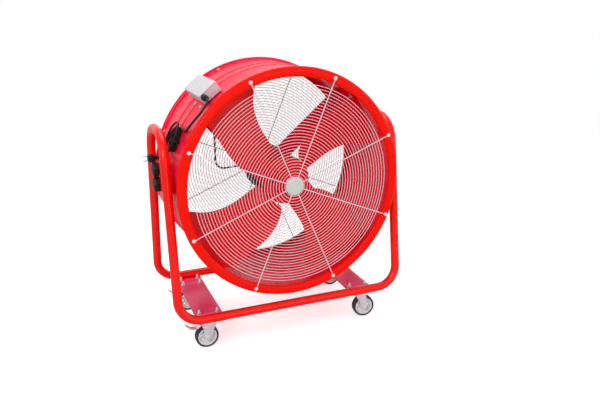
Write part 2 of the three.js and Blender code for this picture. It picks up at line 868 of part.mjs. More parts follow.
// The supply cord leaves the gland forwards, turns back and lies down on the shell.
const hankStart = hankAngle + ((hankRun + foldLeast + 2 * foldPitch) / hankBase) * (180 / Math.PI);
const unrolled = 490;
const across = (angle) => -radians(angle - glandAngle) * unrolled;
const entry = across(hankStart);
const supplyRoute = bentPath(
  [
    point(0, glandEnd - clearance, 0),
    point(0, -244, 0),
    point(58, -244, 0),
    point(entry, -150, 0),
    point(entry, hankMiddle - 60 - clearance, 0),
  ],
  [37, 37, 37],
  5,
  20,
  (p, share) =>
    onDrum(
      glandAngle - (p.x / unrolled) * (180 / Math.PI),
      glandRadius + (hankBase - glandRadius) * THREE.MathUtils.smoothstep(share, 0, 1),
      p.y,
    ),
);
part("supply_cord", along(supplyRoute, cordRadius, 8), cordRubber, drum);

// The hank: loops spiral in, climb and spiral out again, then climb once more and leave.
const lastTurn = 5.25;

function hankShape(t) {
  const clamp = (x) => Math.min(1, Math.max(0, x));
  const inward = foldLeast + foldPitch * (2 - t);
  const outward = foldLeast + foldPitch * (t - 2);
  const fold = t < 2 ? inward : Math.min(outward, foldLeast + 2 * foldPitch + 1.2);
  const swing = 18 * THREE.MathUtils.smoothstep(t, 4.7, 5.1);
  const layer = clamp((t - 1.75) / 0.5) + clamp((t - 3.98) / 0.42);
  return [fold + swing, layer];
}

function hankPoint(t) {
  const [fold, layer] = hankShape(t);
  const half = (t % 1) * 2 < 1 ? 1 : -1;
  const within = (t % 0.5) * 4;
  const bend = 1 - (2 * hankRun) / (2 * hankRun + foldLeast * Math.PI);
  let u = hankRun * ((within - 1) / (1 - bend));
  let w = fold;
  if (within < bend) {
    const angle = ((within / bend) * Math.PI) / 2;
    u = -hankRun - fold * Math.cos(angle);
    w = fold * Math.sin(angle);
  } else if (within > 2 - bend) {
    const angle = (((within - 2) / bend + 1) * Math.PI) / 2;
    u = hankRun + fold * Math.sin(angle);
    w = fold * Math.cos(angle);
  }
  const radius = hankBase + layer * layerPitch;
  const angle = hankAngle - ((half * u) / radius) * (180 / Math.PI);
  return onDrum(angle, radius, hankMiddle + half * w);
}

function hankRoute() {
  const perTurn = 24;
  const count = Math.round(lastTurn * perTurn);
  const begin = hankPoint(0);
  const lead = begin.clone().add(point(0, hankMiddle - 60 - begin.y, 0));
  const places = [lead, lead.clone().add(point(0, 12, 0)), lead.clone().lerp(begin, 0.6)];
  range(count + 1).forEach((i) => places.push(hankPoint(i / perTurn)));
  const end = places[places.length - 1];
  const heading = onDrum(hankAngle - 90, 1, 0).normalize();
  const exit = end.clone().addScaledVector(heading, 11);
  places.push(exit);
  const directions = places.map((_, i) => {
    const ahead = places[Math.min(i + 1, places.length - 1)];
    const behindIt = places[Math.max(i - 1, 0)];
    return ahead.clone().sub(behindIt).normalize();
  });
  directions[0] = point(0, 1, 0);
  directions[1] = point(0, 1, 0);
  directions[places.length - 1] = heading;
  return new Route(places, directions);
}
const hank = hankRoute();

// The least gap between neighbouring strands of the hank.
function leastGap(places, reach) {
  const dense = [];
  places.slice(1).forEach((end, i) => {
    range(4).forEach((k) => dense.push(places[i].clone().lerp(end, k / 4)));
  });
  let travelled = 0;
  const distance = dense.map((spot, i) => {
    if (i > 0) travelled += spot.distanceTo(dense[i - 1]);
    return travelled;
  });
  let least = Infinity;
  dense.forEach((spot, i) => {
    for (let j = i + 1; j < dense.length; j += 1) {
      if (distance[j] - distance[i] < reach) continue;
      least = Math.min(least, spot.distanceTo(dense[j]));
    }
  });
  return least - 2 * cordRadius;
}
console.log("least gap between the strands of the hank, mm:", leastGap(hank.places, 60).toFixed(2));
part("cord_hank", along(hank, cordRadius, 6), cordRubber, drum);

// The tail hangs down from the hank and turns out over the pivot plate to the plug.
const plugFace = -518.5;
const plugHeight = 113.5;
const tailFrom = hank.places[hank.places.length - 1];
const tailHeading = onDrum(hankAngle - 90, 1, 0).normalize();
const tailStart = tailFrom.clone().addScaledVector(tailHeading, clearance);
const tailX = -473.5;
const reachDown = (tailX - tailStart.x) / tailHeading.x;
const tailCorner = tailStart.clone().addScaledVector(tailHeading, reachDown);
const tailRoute = bentPath(
  [
    tailStart,
    tailCorner,
    point(tailX, 0, plugHeight),
    point(plugFace + clearance, 0, plugHeight),
  ],
  [36, 36],
  6,
  20,
);
part("cord_tail", along(tailRoute, cordRadius, 8), cordRubber, drum);

function plug() {
  const relief = solid(rod("x", 8, plugFace, plugFace - 8, 12));
  const block = solid(box(-554, plugFace - 6, -19, 19, -15.5, 15.5));
  const pins = [-1, 1].map((end) => solid(rod("x", 2.4, -573, -552, 8).translate(0, 0, end * 9.5)));
  return join(relief, block, ...pins);
}
part("plug", plug(), cordRubber, drum).position.set(0, 0, plugHeight);

export default fanUnit;
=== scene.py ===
from math import acos, asin, ceil, cos, degrees, pi, radians, sin, sqrt, tan

import bmesh
import bpy
from mathutils import Matrix, Vector


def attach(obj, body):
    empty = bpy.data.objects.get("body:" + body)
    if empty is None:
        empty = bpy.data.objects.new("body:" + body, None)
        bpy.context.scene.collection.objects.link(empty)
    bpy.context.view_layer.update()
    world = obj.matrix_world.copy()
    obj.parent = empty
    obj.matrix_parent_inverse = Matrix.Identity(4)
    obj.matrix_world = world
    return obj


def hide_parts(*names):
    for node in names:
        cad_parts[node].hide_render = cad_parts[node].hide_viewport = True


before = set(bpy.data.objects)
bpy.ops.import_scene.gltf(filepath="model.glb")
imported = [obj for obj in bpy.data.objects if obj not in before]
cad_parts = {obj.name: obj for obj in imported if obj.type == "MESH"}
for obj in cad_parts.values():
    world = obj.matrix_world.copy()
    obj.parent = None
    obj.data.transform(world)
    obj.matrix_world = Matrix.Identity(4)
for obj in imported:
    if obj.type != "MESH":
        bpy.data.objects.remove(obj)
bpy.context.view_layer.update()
mm = 0.001
axisZ = 699.0  # height of the drum's axis, mm
drumAxis = (0, 0, axisZ)
handed = {"left": -1, "right": 1}
forwards = (0, -1, 0)


# ---- small helpers ----
def linear(hexText):
    parts = [int(hexText[i:i + 2], 16) / 255 for i in (1, 3, 5)]
    return [c / 12.92 if c <= 0.04045 else ((c + 0.055) / 1.055) ** 2.4 for c in parts] + [1.0]


def addNode(tree, kind, settings=None, links=None, **attributes):
    family = "GeometryNode" if tree.type == "GEOMETRY" else "ShaderNode"
    node = tree.nodes.new(kind if "Node" in kind else family + kind)
    for key, value in attributes.items():
        setattr(node, key, value)
    for socket, value in (settings or {}).items():
        node.inputs[socket].default_value = value
    for socket, source in (links or {}).items():
        tree.links.new(source, node.inputs[socket])
    return node


def nodeOut(tree, kind, *given, **attributes):
    return addNode(tree, kind, *given, **attributes).outputs[0]


def linked(name, data):
    ob = bpy.data.objects.new(name, data)
    bpy.context.scene.collection.objects.link(ob)
    return ob


def newObject(name, points, faces):
    mesh = bpy.data.meshes.new(name)
    mesh.from_pydata([(x * mm, y * mm, z * mm) for x, y, z in points], [], faces)
    mesh.validate()
    return linked(name, mesh)


def cleaned(ob):
    bm = bmesh.new()
    bm.from_mesh(ob.data)
    bmesh.ops.remove_doubles(bm, verts=bm.verts, dist=0.02 * mm)
    bmesh.ops.dissolve_degenerate(bm, edges=bm.edges, dist=0.001 * mm)
    bmesh.ops.recalc_face_normals(bm, faces=bm.faces)
    bm.to_mesh(ob.data)
    bm.free()
    return ob


def shaded(ob, sharpAngle=38):
    ob.data.polygons.foreach_set("use_smooth", [True] * len(ob.data.polygons))
    ob.data.set_sharp_from_angle(angle=radians(sharpAngle))
    return ob


def softEdges(ob, width, segments=2, angle=40):
    bevel = ob.modifiers.new("softEdges", "BEVEL")
    bevel.width = width * mm
    bevel.segments = segments
    bevel.limit_method = "ANGLE"
    bevel.angle_limit = radians(angle)
    bevel.harden_normals = False
    return ob


def dressed(ob, material, slotName, body, *nodes):
    if material:
        ob.data.materials.clear()
        ob.data.materials.append(material)
    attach(ob, body)
    if nodes:
        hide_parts(*nodes)
    return ob


def piece(name, shape, sharpAngle, material, slotName, body, *nodes, soft=()):
    ob = shaded(cleaned(newObject(name, *shape)), sharpAngle)
    if soft:
        softEdges(ob, *soft)
    return dressed(ob, material, slotName, body, *nodes)


def nodePiece(node, *given, **more):
    # a piece that replaces one node and is named after it
    first, *rest = node.split("_")
    return piece(first + "".join(word.title() for word in rest), *given, node, **more)


def paintNode(name, material, edge=0.0):
    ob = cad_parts[name]
    for holder in ob.material_slots:
        holder.link = "OBJECT"
        holder.material = material
    if edge:
        softEdges(ob, edge)
    return ob


def merged(*shapes):
    points, faces = [], []
    for shapePoints, shapeFaces in shapes:
        start = len(points)
        points.extend(shapePoints)
        faces.extend([tuple(start + i for i in face) for face in shapeFaces])
    return points, faces


def moved(shape, matrix):
    return [tuple(matrix @ Vector(p)) for p in shape[0]], shape[1]


def onAxis(shape):
    return moved(shape, Matrix.Translation(drumAxis))


def spun(shape, angle):
    # turns a shape about the Y axis, from +X towards +Z
    return moved(shape, Matrix.Rotation(-radians(angle), 4, "Y"))


def lying(u, v, w):
    return (u, v, w)


def standing(u, v, w):
    return (u, w, v)


def polar(radius, angle, u=0.0, v=0.0):
    return (u + radius * cos(angle), v + radius * sin(angle))


def outward(angle):
    return (cos(radians(angle)), 0, sin(radians(angle)))


def atAngle(radius, y, angle):
    # a point round the drum's axis, at an angle in degrees from +X
    return (radius * cos(radians(angle)), y, radius * sin(radians(angle)) + axisZ)


def rectangle(u0, u1, v0, v1):
    return [(u0, v0), (u1, v0), (u1, v1), (u0, v1)]


def loft(rows, count):
    # faces between neighbouring rows of count points each
    return [(r * count + k, r * count + (k + 1) % count, (r + 1) * count + (k + 1) % count, (r + 1) * count + k)
            for r in range(rows - 1) for k in range(count)]


def capped(rows, count):
    last = (rows - 1) * count
    return loft(rows, count) + [tuple(range(count)), tuple(last + k for k in range(count - 1, -1, -1))]


def evaluatedMesh(ob):
    return bpy.data.meshes.new_from_object(ob.evaluated_get(bpy.context.evaluated_depsgraph_get()))


def turned(profile, sides, centre=(0, 0, 0), axis="Y"):
    # profile of (radius, along) turned about an axis; one that starts on the axis is left open there
    points, faces = [], []
    count = len(profile)
    for i in range(sides):
        a = 2 * pi * i / sides
        for radius, along in profile:
            u, v = radius * sin(a), radius * cos(a)
            place = {"Y": (u, along, v), "X": (along, u, v), "Z": (u, v, along)}[axis]
            points.append(tuple(p + c for p, c in zip(place, centre)))
    for i in range(sides):
        j = (i + 1) % sides
        for k in range(count if profile[0][0] else count - 1):
            m = (k + 1) % count
            faces.append((i * count + k, i * count + m, j * count + m, j * count + k))
    return points, faces


def swept(path, radius, sides=12):
    # round bar or wire along a path, with the section carried along without twist
    path = [Vector(p) for p in path]
    last = len(path) - 1
    points = []
    side = None
    for i, here in enumerate(path):
        ahead = (path[min(i + 1, last)] - path[max(i - 1, 0)]).normalized()
        if side is None:
            side = ahead.orthogonal().normalized()
        else:
            side = (side - ahead * side.dot(ahead)).normalized()
        other = ahead.cross(side)
        for k in range(sides):
            a = 2 * pi * k / sides
            points.append(tuple(here + side * (cos(a) * radius) + other * (sin(a) * radius)))
    ends = [tuple(range(sides - 1, -1, -1)), tuple(last * sides + k for k in range(sides))]
    return points, loft(len(path), sides) + ends


def prism(loop, low, high, place):
    # flat outline of (u, v) given a thickness from low to high
    count = len(loop)
    points = [place(u, v, low) for u, v in loop] + [place(u, v, high) for u, v in loop]
    faces = [tuple(range(count - 1, -1, -1)), tuple(range(count, 2 * count))]
    faces += [(i, (i + 1) % count, (i + 1) % count + count, i + count) for i in range(count)]
    return points, faces


def block(x0, x1, y0, y1, z0, z1):
    return prism(rectangle(x0, x1, y0, y1), z0, z1, lying)


def circleLoop(u, v, radius, sides=24):
    return [polar(radius, 2 * pi * i / sides, u, v) for i in range(sides)]


def rounded(points, radius, steps=4, closed=True):
    result = []
    count = len(points)
    for i, corner in enumerate(points):
        here = Vector(corner)
        reachWanted = radius[i] if isinstance(radius, list) else radius
        if reachWanted <= 0 or (not closed and i in (0, count - 1)):
            result.append(tuple(here))
            continue
        a = Vector(points[i - 1]) - here
        b = Vector(points[(i + 1) % count]) - here
        half = a.angle(b) / 2
        reach = min(reachWanted / tan(half), a.length * 0.49, b.length * 0.49)
        a.normalize()
        b.normalize()
        for k in range(steps + 1):
            t = k / steps
            result.append(tuple(here + a * (reach * (1 - t) ** 2) + b * (reach * t ** 2)))
    return result


def flowing(points, steps):
    # smooth line through the points
    line = []
    for i in range(len(points) - 1):
        p0 = Vector(points[max(i - 1, 0)])
        p1, p2 = Vector(points[i]), Vector(points[i + 1])
        p3 = Vector(points[min(i + 2, len(points) - 1)])
        for k in range(steps):
            t = k / steps
            line.append(tuple(0.5 * (2 * p1 + (p2 - p0) * t + (2 * p0 - 5 * p1 + 4 * p2 - p3) * t * t
                                     + (3 * p1 - p0 - 3 * p2 + p3) * t ** 3)))
    line.append(tuple(points[-1]))
    return line


def thickened(line, thickness):
    # a closed section made from a line and its copy set off by the sheet's thickness
    offset = []
    for i, here in enumerate(line):
        before = Vector(line[max(i - 1, 0)])
        after = Vector(line[min(i + 1, len(line) - 1)])
        run = (after - before).normalized()
        offset.append((here[0] + run.y * thickness, here[1] - run.x * thickness))
    return list(line) + offset[::-1]


def cutPlate(loops, thickness, edge, place):
    # sheet cut to an outline with holes and broken edges, from a filled curve
    curve = bpy.data.curves.new("plateOutline", "CURVE")
    curve.dimensions = "2D"
    curve.fill_mode = "BOTH"
    curve.extrude = thickness / 2 - edge
    curve.bevel_depth = edge
    curve.bevel_resolution = 1
    curve.offset = -edge
    for loop in loops:
        spline = curve.splines.new("POLY")
        spline.points.add(len(loop) - 1)
        for spot, (u, v) in zip(spline.points, loop):
            spot.co = (u, v, 0, 1)
        spline.use_cyclic_u = True
    holder = linked("plateOutline", curve)
    mesh = evaluatedMesh(holder)
    bpy.data.objects.remove(holder)
    points = [place(v.co.x, v.co.y, v.co.z) for v in mesh.vertices]
    faces = [tuple(p.vertices) for p in mesh.polygons]
    bpy.data.meshes.remove(mesh)
    return points, faces


def sheetGrid(rows, columns, front, back):
    points = [front(i / rows, j / columns) for i in range(rows + 1) for j in range(columns + 1)]
    points += [back(i / rows, j / columns) for i in range(rows + 1) for j in range(columns + 1)]
    n, m = columns + 1, (rows + 1) * (columns + 1)
    faces = []
    for i in range(rows):
        for j in range(columns):
            a = i * n + j
            faces += [(a, a + 1, a + n + 1, a + n), (m + a, m + a + n, m + a + n + 1, m + a + 1)]
        a, b = i * n, i * n + columns
        faces += [(a, a + n, m + a + n, m + a), (b + n, b, m + b, m + b + n)]
    for j in range(columns):
        a, b = j, rows * n + j
        faces += [(a + 1, a, m + a, m + a + 1), (b, b + 1, m + b + 1, m + b)]
    return points, faces


def onDrum(angle, radius, y):
    return (radius * sin(radians(angle)), y, radius * cos(radians(angle)) + axisZ)


def bentPath(corners, radii, steps, stride, place=None):
    # straight runs joined by round bends, cut into parts no longer than stride; place lays it on a surface
    corners = [Vector(c) for c in corners]
    line = [corners[0]]
    for i in range(1, len(corners) - 1):
        before = (corners[i] - corners[i - 1]).normalized()
        after = (corners[i + 1] - corners[i]).normalized()
        turn = acos(max(-1, min(1, before.dot(after))))
        start = corners[i] - before * (radii[i - 1] * tan(turn / 2))
        inwards = (after - before * before.dot(after)).normalized()
        middle = start + inwards * radii[i - 1]
        for k in range(steps + 1):
            a = turn * k / steps
            line.append(middle - inwards * (radii[i - 1] * cos(a)) + before * (radii[i - 1] * sin(a)))
    line.append(corners[-1])
    filled = [line[0]]
    for here in line[1:]:
        start = filled[-1].copy()
        parts = max(1, ceil((here - start).length / stride))
        filled += [start.lerp(here, (k + 1) / parts) for k in range(parts)]
    if place is None:
        return filled
    lengths = [0.0]
    for a, b in zip(filled, filled[1:]):
        lengths.append(lengths[-1] + (b - a).length)
    return [Vector(place(p, s / lengths[-1])) for p, s in zip(filled, lengths)]


# ---- camera ----
cameraPlace = {"spot": (-0.9304, -2.6173, 1.4367), "target": (0.1267, 0.0, 0.5483), "lens": 38.13, "roll": -0.25}
camera = linked("camera", bpy.data.cameras.new("camera"))
camera.data.lens = cameraPlace["lens"]
camera.data.sensor_width = 36
camera.location = cameraPlace["spot"]
sight = Vector(cameraPlace["target"]) - Vector(cameraPlace["spot"])
camera.rotation_euler = (sight.to_track_quat("-Z", "Y").to_matrix().to_4x4()
                         @ Matrix.Rotation(radians(cameraPlace["roll"]), 4, "Z")).to_euler()
bpy.context.scene.camera = camera


# ---- materials ----
def startMaterial(name):
    material = bpy.data.materials.new(name)
    material.use_nodes = True
    tree = material.node_tree
    tree.nodes.clear()
    shader = addNode(tree, "BsdfPrincipled")
    addNode(tree, "OutputMaterial", links={"Surface": shader.outputs["BSDF"]})
    where = addNode(tree, "TexCoord").outputs["Object"]
    return material, tree, shader, where


def mottled(tree, where, size, low, high, detail=3.0):
    # noise of one feature size in mm, stretched between two values
    noise = addNode(tree, "TexNoise", {"Scale": 1 / (size * mm), "Detail": detail}, {"Vector": where})
    return addNode(tree, "MapRange", {"From Min": 0.3, "From Max": 0.7, "To Min": low, "To Max": high},
                   {"Value": noise.outputs["Fac"]}).outputs["Result"]


def colourMix(tree, factor, hexA, hexB):
    return addNode(tree, "Mix", {6: linear(hexA), 7: linear(hexB)}, {0: factor},
                   data_type="RGBA").outputs[2]


def bumped(tree, shader, height, strength, distance):
    bump = addNode(tree, "Bump", {"Strength": strength, "Distance": distance * mm}, {"Height": height})
    tree.links.new(bump.outputs["Normal"], shader.inputs["Normal"])


def finished(name, hexA, hexB, blotch, rough, grain, levels):
    # blotch is the size of the colour's mottling, rough is size, low and high, grain is size, detail, strength, depth
    material, tree, shader, where = startMaterial(name)
    tree.links.new(colourMix(tree, mottled(tree, where, blotch, 0.0, 1.0), hexA, hexB), shader.inputs["Base Color"])
    tree.links.new(mottled(tree, where, *rough), shader.inputs["Roughness"])
    size, detail, strength, depth = grain
    bumped(tree, shader, mottled(tree, where, size, 0.0, 1.0, detail), strength, depth)
    for socket, level in levels.items():
        shader.inputs[socket].default_value = level
    return material


def powderCoat(name, hexA, hexB, roughLow, roughHigh, sheen, coat, peel):
    # baked powder coat: a glossy skin with an orange peel a few mm across, so that it shows
    return finished(name, hexA, hexB, 70, (25, roughLow, roughHigh), (peel, 1.0, 0.25, 0.12),
                    {"Specular IOR Level": sheen, "Coat Weight": coat, "Coat Roughness": 0.12})


redGloss = powderCoat("redPowderCoatGloss", "#F01004", "#FA1808", 0.24, 0.32, 0.12, 0.25, 3.0)
# the base plates carry the frame red lifted to pink-magenta, a painted reflection of the overhead light on their flat
# tops
redPlateWithPaintedReflection = powderCoat("redPowderCoatFlatPlate", "#E8487C", "#F25A88", 0.30, 0.40, 0.12, 0.10, 3.0)
# the shell's red paint has a pink-magenta tint added, a painted reflection of the overhead light; the red under it is
# the paint's own
redShellWithPaintedPinkSheen = powderCoat("redPowderCoatRolledSheet", "#F50A30", "#FC1444", 0.24, 0.32, 0.08, 0.06, 4.0)
redBlade = powderCoat("redPowderCoatPressedBlade", "#DE0412", "#E80A1E", 0.30, 0.40, 0.10, 0.06, 3.0)
whiteWire = powderCoat("whitePowderCoatOnWire", "#EED4DA", "#F6DEE4", 0.35, 0.45, 0.3, 0.0, 2.0)
# the rear guard's wires take the white wire coat darkened to grey, painted shade for the dim inside of the drum behind
# the fan
rearWireWithPaintedShade = powderCoat("greyPowderCoatOnRearWire", "#A09A9C", "#ACA6A8", 0.35, 0.45, 0.3, 0.0, 2.0)
screwWhite = powderCoat("whitePaintOnScrewHead", "#E6E2E4", "#EFEBED", 0.3, 0.4, 0.4, 0.1, 2.0)

# the rolled front ring is mixed to the plain red of the frame, with less specular; the rest of the sheet keeps its
# pink-magenta tint, a painted reflection
shellTree = redShellWithPaintedPinkSheen.node_tree
shellShader = shellTree.nodes["Principled BSDF"]
shellWhere = addNode(shellTree, "TexCoord").outputs["Object"]
shellDepth = addNode(shellTree, "SeparateXYZ", links={0: shellWhere}).outputs["Y"]
onRing = addNode(shellTree, "MapRange", {"From Min": -226 * mm, "From Max": -234 * mm},
                 {"Value": shellDepth}).outputs["Result"]
sheetColourWithPaintedSheen = shellShader.inputs["Base Color"].links[0].from_socket
ringColour = addNode(shellTree, "Mix", {7: linear("#F61406")}, {0: onRing, 6: sheetColourWithPaintedSheen},
                     data_type="RGBA")
shellTree.links.new(ringColour.outputs[2], shellShader.inputs["Base Color"])
ringSheen = nodeOut(shellTree, "MapRange", {"To Min": 0.08, "To Max": 0.04}, {"Value": onRing})
shellTree.links.new(ringSheen, shellShader.inputs["Specular IOR Level"])


def zincPlate():
    # bright zinc plate on pressed steel: pale metal with a cloudy spangle
    material, tree, shader, where = startMaterial("zincPlatedPressedSteel")
    spangle = addNode(tree, "TexVoronoi", {"Scale": 1 / (6 * mm)}, {"Vector": where}).outputs["Distance"]
    tree.links.new(colourMix(tree, spangle, "#EDEEF4", "#DCDEE8"), shader.inputs["Base Color"])
    tree.links.new(mottled(tree, where, 9, 0.28, 0.42), shader.inputs["Roughness"])
    bumped(tree, shader, mottled(tree, where, 5, 0.0, 1.0), 0.15, 0.1)
    shader.inputs["Metallic"].default_value = 0.7
    return material


def mouldedPlastic(name, hexA, hexB, roughLow, roughHigh, grain, depth, metallic=0.0):
    # injection moulded plastic with a spark-eroded grain
    return finished(name, hexA, hexB, 18, (8, roughLow, roughHigh), (grain, 2.0, 0.3, depth),
                    {"Specular IOR Level": 0.3, "Metallic": metallic})


zinc = zincPlate()
rimNylon = mouldedPlastic("nylonWheelCentre", "#ECE9E8", "#DAD6D6", 0.38, 0.5, 1.5, 0.08)
tyreRubber = mouldedPlastic("greyElasticTyreRubber", "#3A4452", "#2C343F", 0.6, 0.8, 1.2, 0.12)
blackGrip = mouldedPlastic("blackPhenolicKnob", "#08090E", "#101116", 0.3, 0.45, 1.2, 0.06)
boxGrey = mouldedPlastic("paleGreyAbsHousing", "#D9D6DA", "#CFCBD2", 0.4, 0.5, 1.0, 0.05)
capWhite = mouldedPlastic("whiteAbsHubCap", "#C6CDC6", "#CED4CD", 0.3, 0.4, 1.0, 0.03)
motorBlack = powderCoat("blackMotorEnamel", "#17181B", "#22242A", 0.4, 0.55, 0.5, 0.15, 2.5)
cordBlack = mouldedPlastic("blackRubberFlex", "#0E0B09", "#1A1512", 0.5, 0.65, 1.5, 0.08)
pinPlate = mouldedPlastic("nickelPlatedPin", "#C9CACC", "#B6B8BB", 0.2, 0.3, 1.0, 0.01, 1.0)
print("materials done")

# ---- supply cord, hank, tail and plug ----
cordSizes = {"radius": 4.5, "glandAngle": -42.4, "glandRadius": 507.0, "glandEnd": -191.0,
             "hankAngle": -66.5, "hankMiddle": -58.0, "hankBase": 485.8, "foldLeast": 27.0, "foldPitch": 9.9,
             "layerPitch": 9.7, "run": 6.0, "turns": 5.25, "plugFace": -518.5, "plugHeight": 113.5, "tailX": -473.5,
             "unrolled": 490.0, "supplyBend": 37, "tailBend": 36}
plugZ = axisZ + cordSizes["plugHeight"]


def clamp(x):
    return min(1.0, max(0.0, x))


def hankPoint(t):
    c = cordSizes
    least, pitch, run = c["foldLeast"], c["foldPitch"], c["run"]
    inward = least + pitch * (2 - t)
    outward = least + pitch * (t - 2)
    fold = inward if t < 2 else min(outward, least + 2 * pitch + 1.2)
    late = clamp((t - 4.7) / 0.4)
    fold += 18 * late ** 2 * (3 - 2 * late)
    layer = clamp((t - 1.75) / 0.5) + clamp((t - 3.98) / 0.42)
    phase = (t % 1) * 4
    share = (2 * run) / (2 * run + least * pi)
    first = 1 - share
    within = phase % 2
    half = 1 if phase < 2 else -1
    if within < first:
        a = within / first * pi / 2
        u, w = -run - fold * cos(a), fold * sin(a)
    elif within < 2 - first:
        u, w = -run + 2 * run * (within - first) / (2 - 2 * first), fold
    else:
        a = (within - 2 + first) / first * pi / 2
        u, w = run + fold * sin(a), fold * cos(a)
    radius = c["hankBase"] + layer * c["layerPitch"]
    return Vector(onDrum(c["hankAngle"] - degrees(half * u / radius), radius, c["hankMiddle"] + half * w))


def cordRoute():
    c = cordSizes
    start = c["hankAngle"] + degrees((c["run"] + c["foldLeast"] + 2 * c["foldPitch"]) / c["hankBase"])
    entry = -radians(start - c["glandAngle"]) * c["unrolled"]

    def lay(p, share):
        ease = share * share * (3 - 2 * share)
        radius = c["glandRadius"] + (c["hankBase"] - c["glandRadius"]) * ease
        return onDrum(c["glandAngle"] - degrees(p.x / c["unrolled"]), radius, p.y)

    corners = [(0, c["glandEnd"], 0), (0, -244, 0), (58, -244, 0), (entry, -150, 0), (entry, c["hankMiddle"] - 60, 0)]
    supply = bentPath(corners, [c["supplyBend"]] * 3, 10, 8, lay)
    turnSteps = 60
    begin = hankPoint(0)
    lead = [supply[-1].lerp(begin, k / 5) for k in range(1, 5)]
    loops = [hankPoint(i / turnSteps) for i in range(int(c["turns"] * turnSteps) + 1)]
    heading = Vector((sin(radians(c["hankAngle"] - 90)), 0, cos(radians(c["hankAngle"] - 90))))
    end = loops[-1] + heading * 11
    corner = end + heading * ((c["tailX"] - end.x) / heading.x)
    tail = bentPath([end, corner, (c["tailX"], 0, plugZ), (c["plugFace"] + 4, 0, plugZ)], [c["tailBend"]] * 2, 10, 8)
    return supply + lead + loops + tail


cordPath = cordRoute()
supplyCord = shaded(newObject("supplyCord", *swept(cordPath, cordSizes["radius"])), 60)
dressed(supplyCord, cordBlack, "cord_rubber", "drum", "supply_cord", "cord_hank", "cord_tail")


def plugShape():
    face = cordSizes["plugFace"]
    relief = [(0, face + 12), (5.6, face + 12), (6.2, face + 9)]
    for i in range(4):  # ribbed strain relief
        relief += [(6.6 + i * 0.5, face + 8 - i * 4), (5.6 + i * 0.5, face + 6 - i * 4)]
    relief += [(8.4, face - 8), (0, face - 8)]
    stations = [(face - 5, 12, 9), (face - 8, 17, 13.5), (face - 14, 19, 15.2), (-544, 19, 15.5), (-548, 18, 15),
                (-554, 17.2, 14)]
    points = []
    for x, halfWidth, halfHeight in stations:
        loop = rounded(rectangle(-halfWidth, halfWidth, -halfHeight, halfHeight), 8, 5)
        points += [(x, u, v + plugZ) for u, v in loop]
    body = points, capped(len(stations), len(loop))
    grips = []
    for i in range(4):
        x = -528 - i * 4.2
        for side in (1, -1):
            arc = [(x, side * y, plugZ + rise) for y, rise in ((18.7, -9), (19.2, -6), (19.2, 6), (18.7, 9))]
            grips.append(swept(arc, 0.8, 6))
    return merged(body, turned(relief, 20, (0, 0, plugZ), axis="X"), *grips)


plugBody = piece("plugBody", plugShape(), 35, cordBlack, "cord_rubber", "drum", "plug")
pinProfile = [(0, -552), (2.4, -552), (2.4, -571), (1.6, -572.8), (0, -573)]
pins = [turned(pinProfile, 16, (0, 0, plugZ + apart), axis="X") for apart in (-9.5, 9.5)]
plugPins = piece("plugPins", merged(*pins), 50, pinPlate, "cord_rubber", "drum")


def tieShape():
    # a strap round all the strands of the hank on its front run, from its outer and inner outlines
    c = cordSizes
    points = []
    for inset, corner in ((0, 6), (1, 5)):
        loop = rounded(rectangle(-54 + inset, -21 - inset, 480.2 + inset, 511 - inset), corner, 6)
        for wide in (-4.5, 4.5):
            middle = c["hankAngle"] - degrees(wide / c["unrolled"])
            points += [onDrum(middle, radius, c["hankMiddle"] + w) for w, radius in loop]
    n = len(loop)
    faces = []
    for k in range(n):
        m = (k + 1) % n
        faces += [(k, m, n + m, n + k), (2 * n + k, 3 * n + k, 3 * n + m, 2 * n + m),
                  (k, 2 * n + k, 2 * n + m, m), (n + k, n + m, 3 * n + m, 3 * n + k)]
    return points, faces


hankTie = piece("hankTie", tieShape(), 40, cordBlack, "cord_rubber", "drum")

# ---- drum shell: one rolled sheet with two ribs and a rolled ring turned in at each end ----
shellSizes = {"radius": 478.0, "sheet": 1.8, "rib": 3.0, "ribHalf": 8, "ribs": (-35.0, 45.0), "sides": 192}


def shellProfile():
    s = shellSizes
    line = flowing([(448.2, -242), (448.6, -246.5), (451.5, -252.3), (458.5, -256.5), (470, -258), (481.5, -256.1),
                    (488.3, -250), (490, -243.5), (487.2, -237.5), (482, -232), (478.6, -227), (478, -221.5)], 4)
    for middle in s["ribs"]:
        for k in range(13):
            t = -1 + 2 * k / 12
            line.append((s["radius"] + s["rib"] * 0.5 * (1 + cos(pi * t)), middle + s["ribHalf"] * t))
    line += flowing([(478, 200), (478.6, 205), (482.4, 209.2), (487.2, 212.3), (490, 217.5), (488.8, 222.4),
                     (484, 225.4), (476, 226), (467.5, 225.3), (459.5, 221.2), (453, 214)], 4)
    return thickened(line, -s["sheet"])


nodePiece("drum_shell", turned(shellProfile(), shellSizes["sides"], drumAxis), 50, redShellWithPaintedPinkSheen, "red_paint", "drum")
print("shell done")

# ---- wire guards ----
guardSizes = {"wire": 1.2, "spokeWire": 1.9, "pitch": 12.6, "first": 44.0, "rings": 31, "frontY": -256.7,
              "rearFirst": 50.0, "rearRings": 32, "rearY": 194.0, "spokes": 8, "padRadius": 471}


def newTree(name, sockets):
    tree = bpy.data.node_groups.new(name, "GeometryNodeTree")
    for label, kind in (("Geometry", "Geometry"), *sockets, ("Finish", "Material")):
        tree.interface.new_socket(label, in_out="INPUT", socket_type="NodeSocket" + kind)
    tree.interface.new_socket("Geometry", in_out="OUTPUT", socket_type="NodeSocketGeometry")
    return tree, addNode(tree, "NodeGroupInput").outputs


def closeTree(tree, geometry, finish):
    smooth = nodeOut(tree, "SetShadeSmooth", links={"Geometry": geometry})
    coated = nodeOut(tree, "SetMaterial", links={"Geometry": smooth, "Material": finish})
    addNode(tree, "NodeGroupOutput", links={0: coated})
    return tree


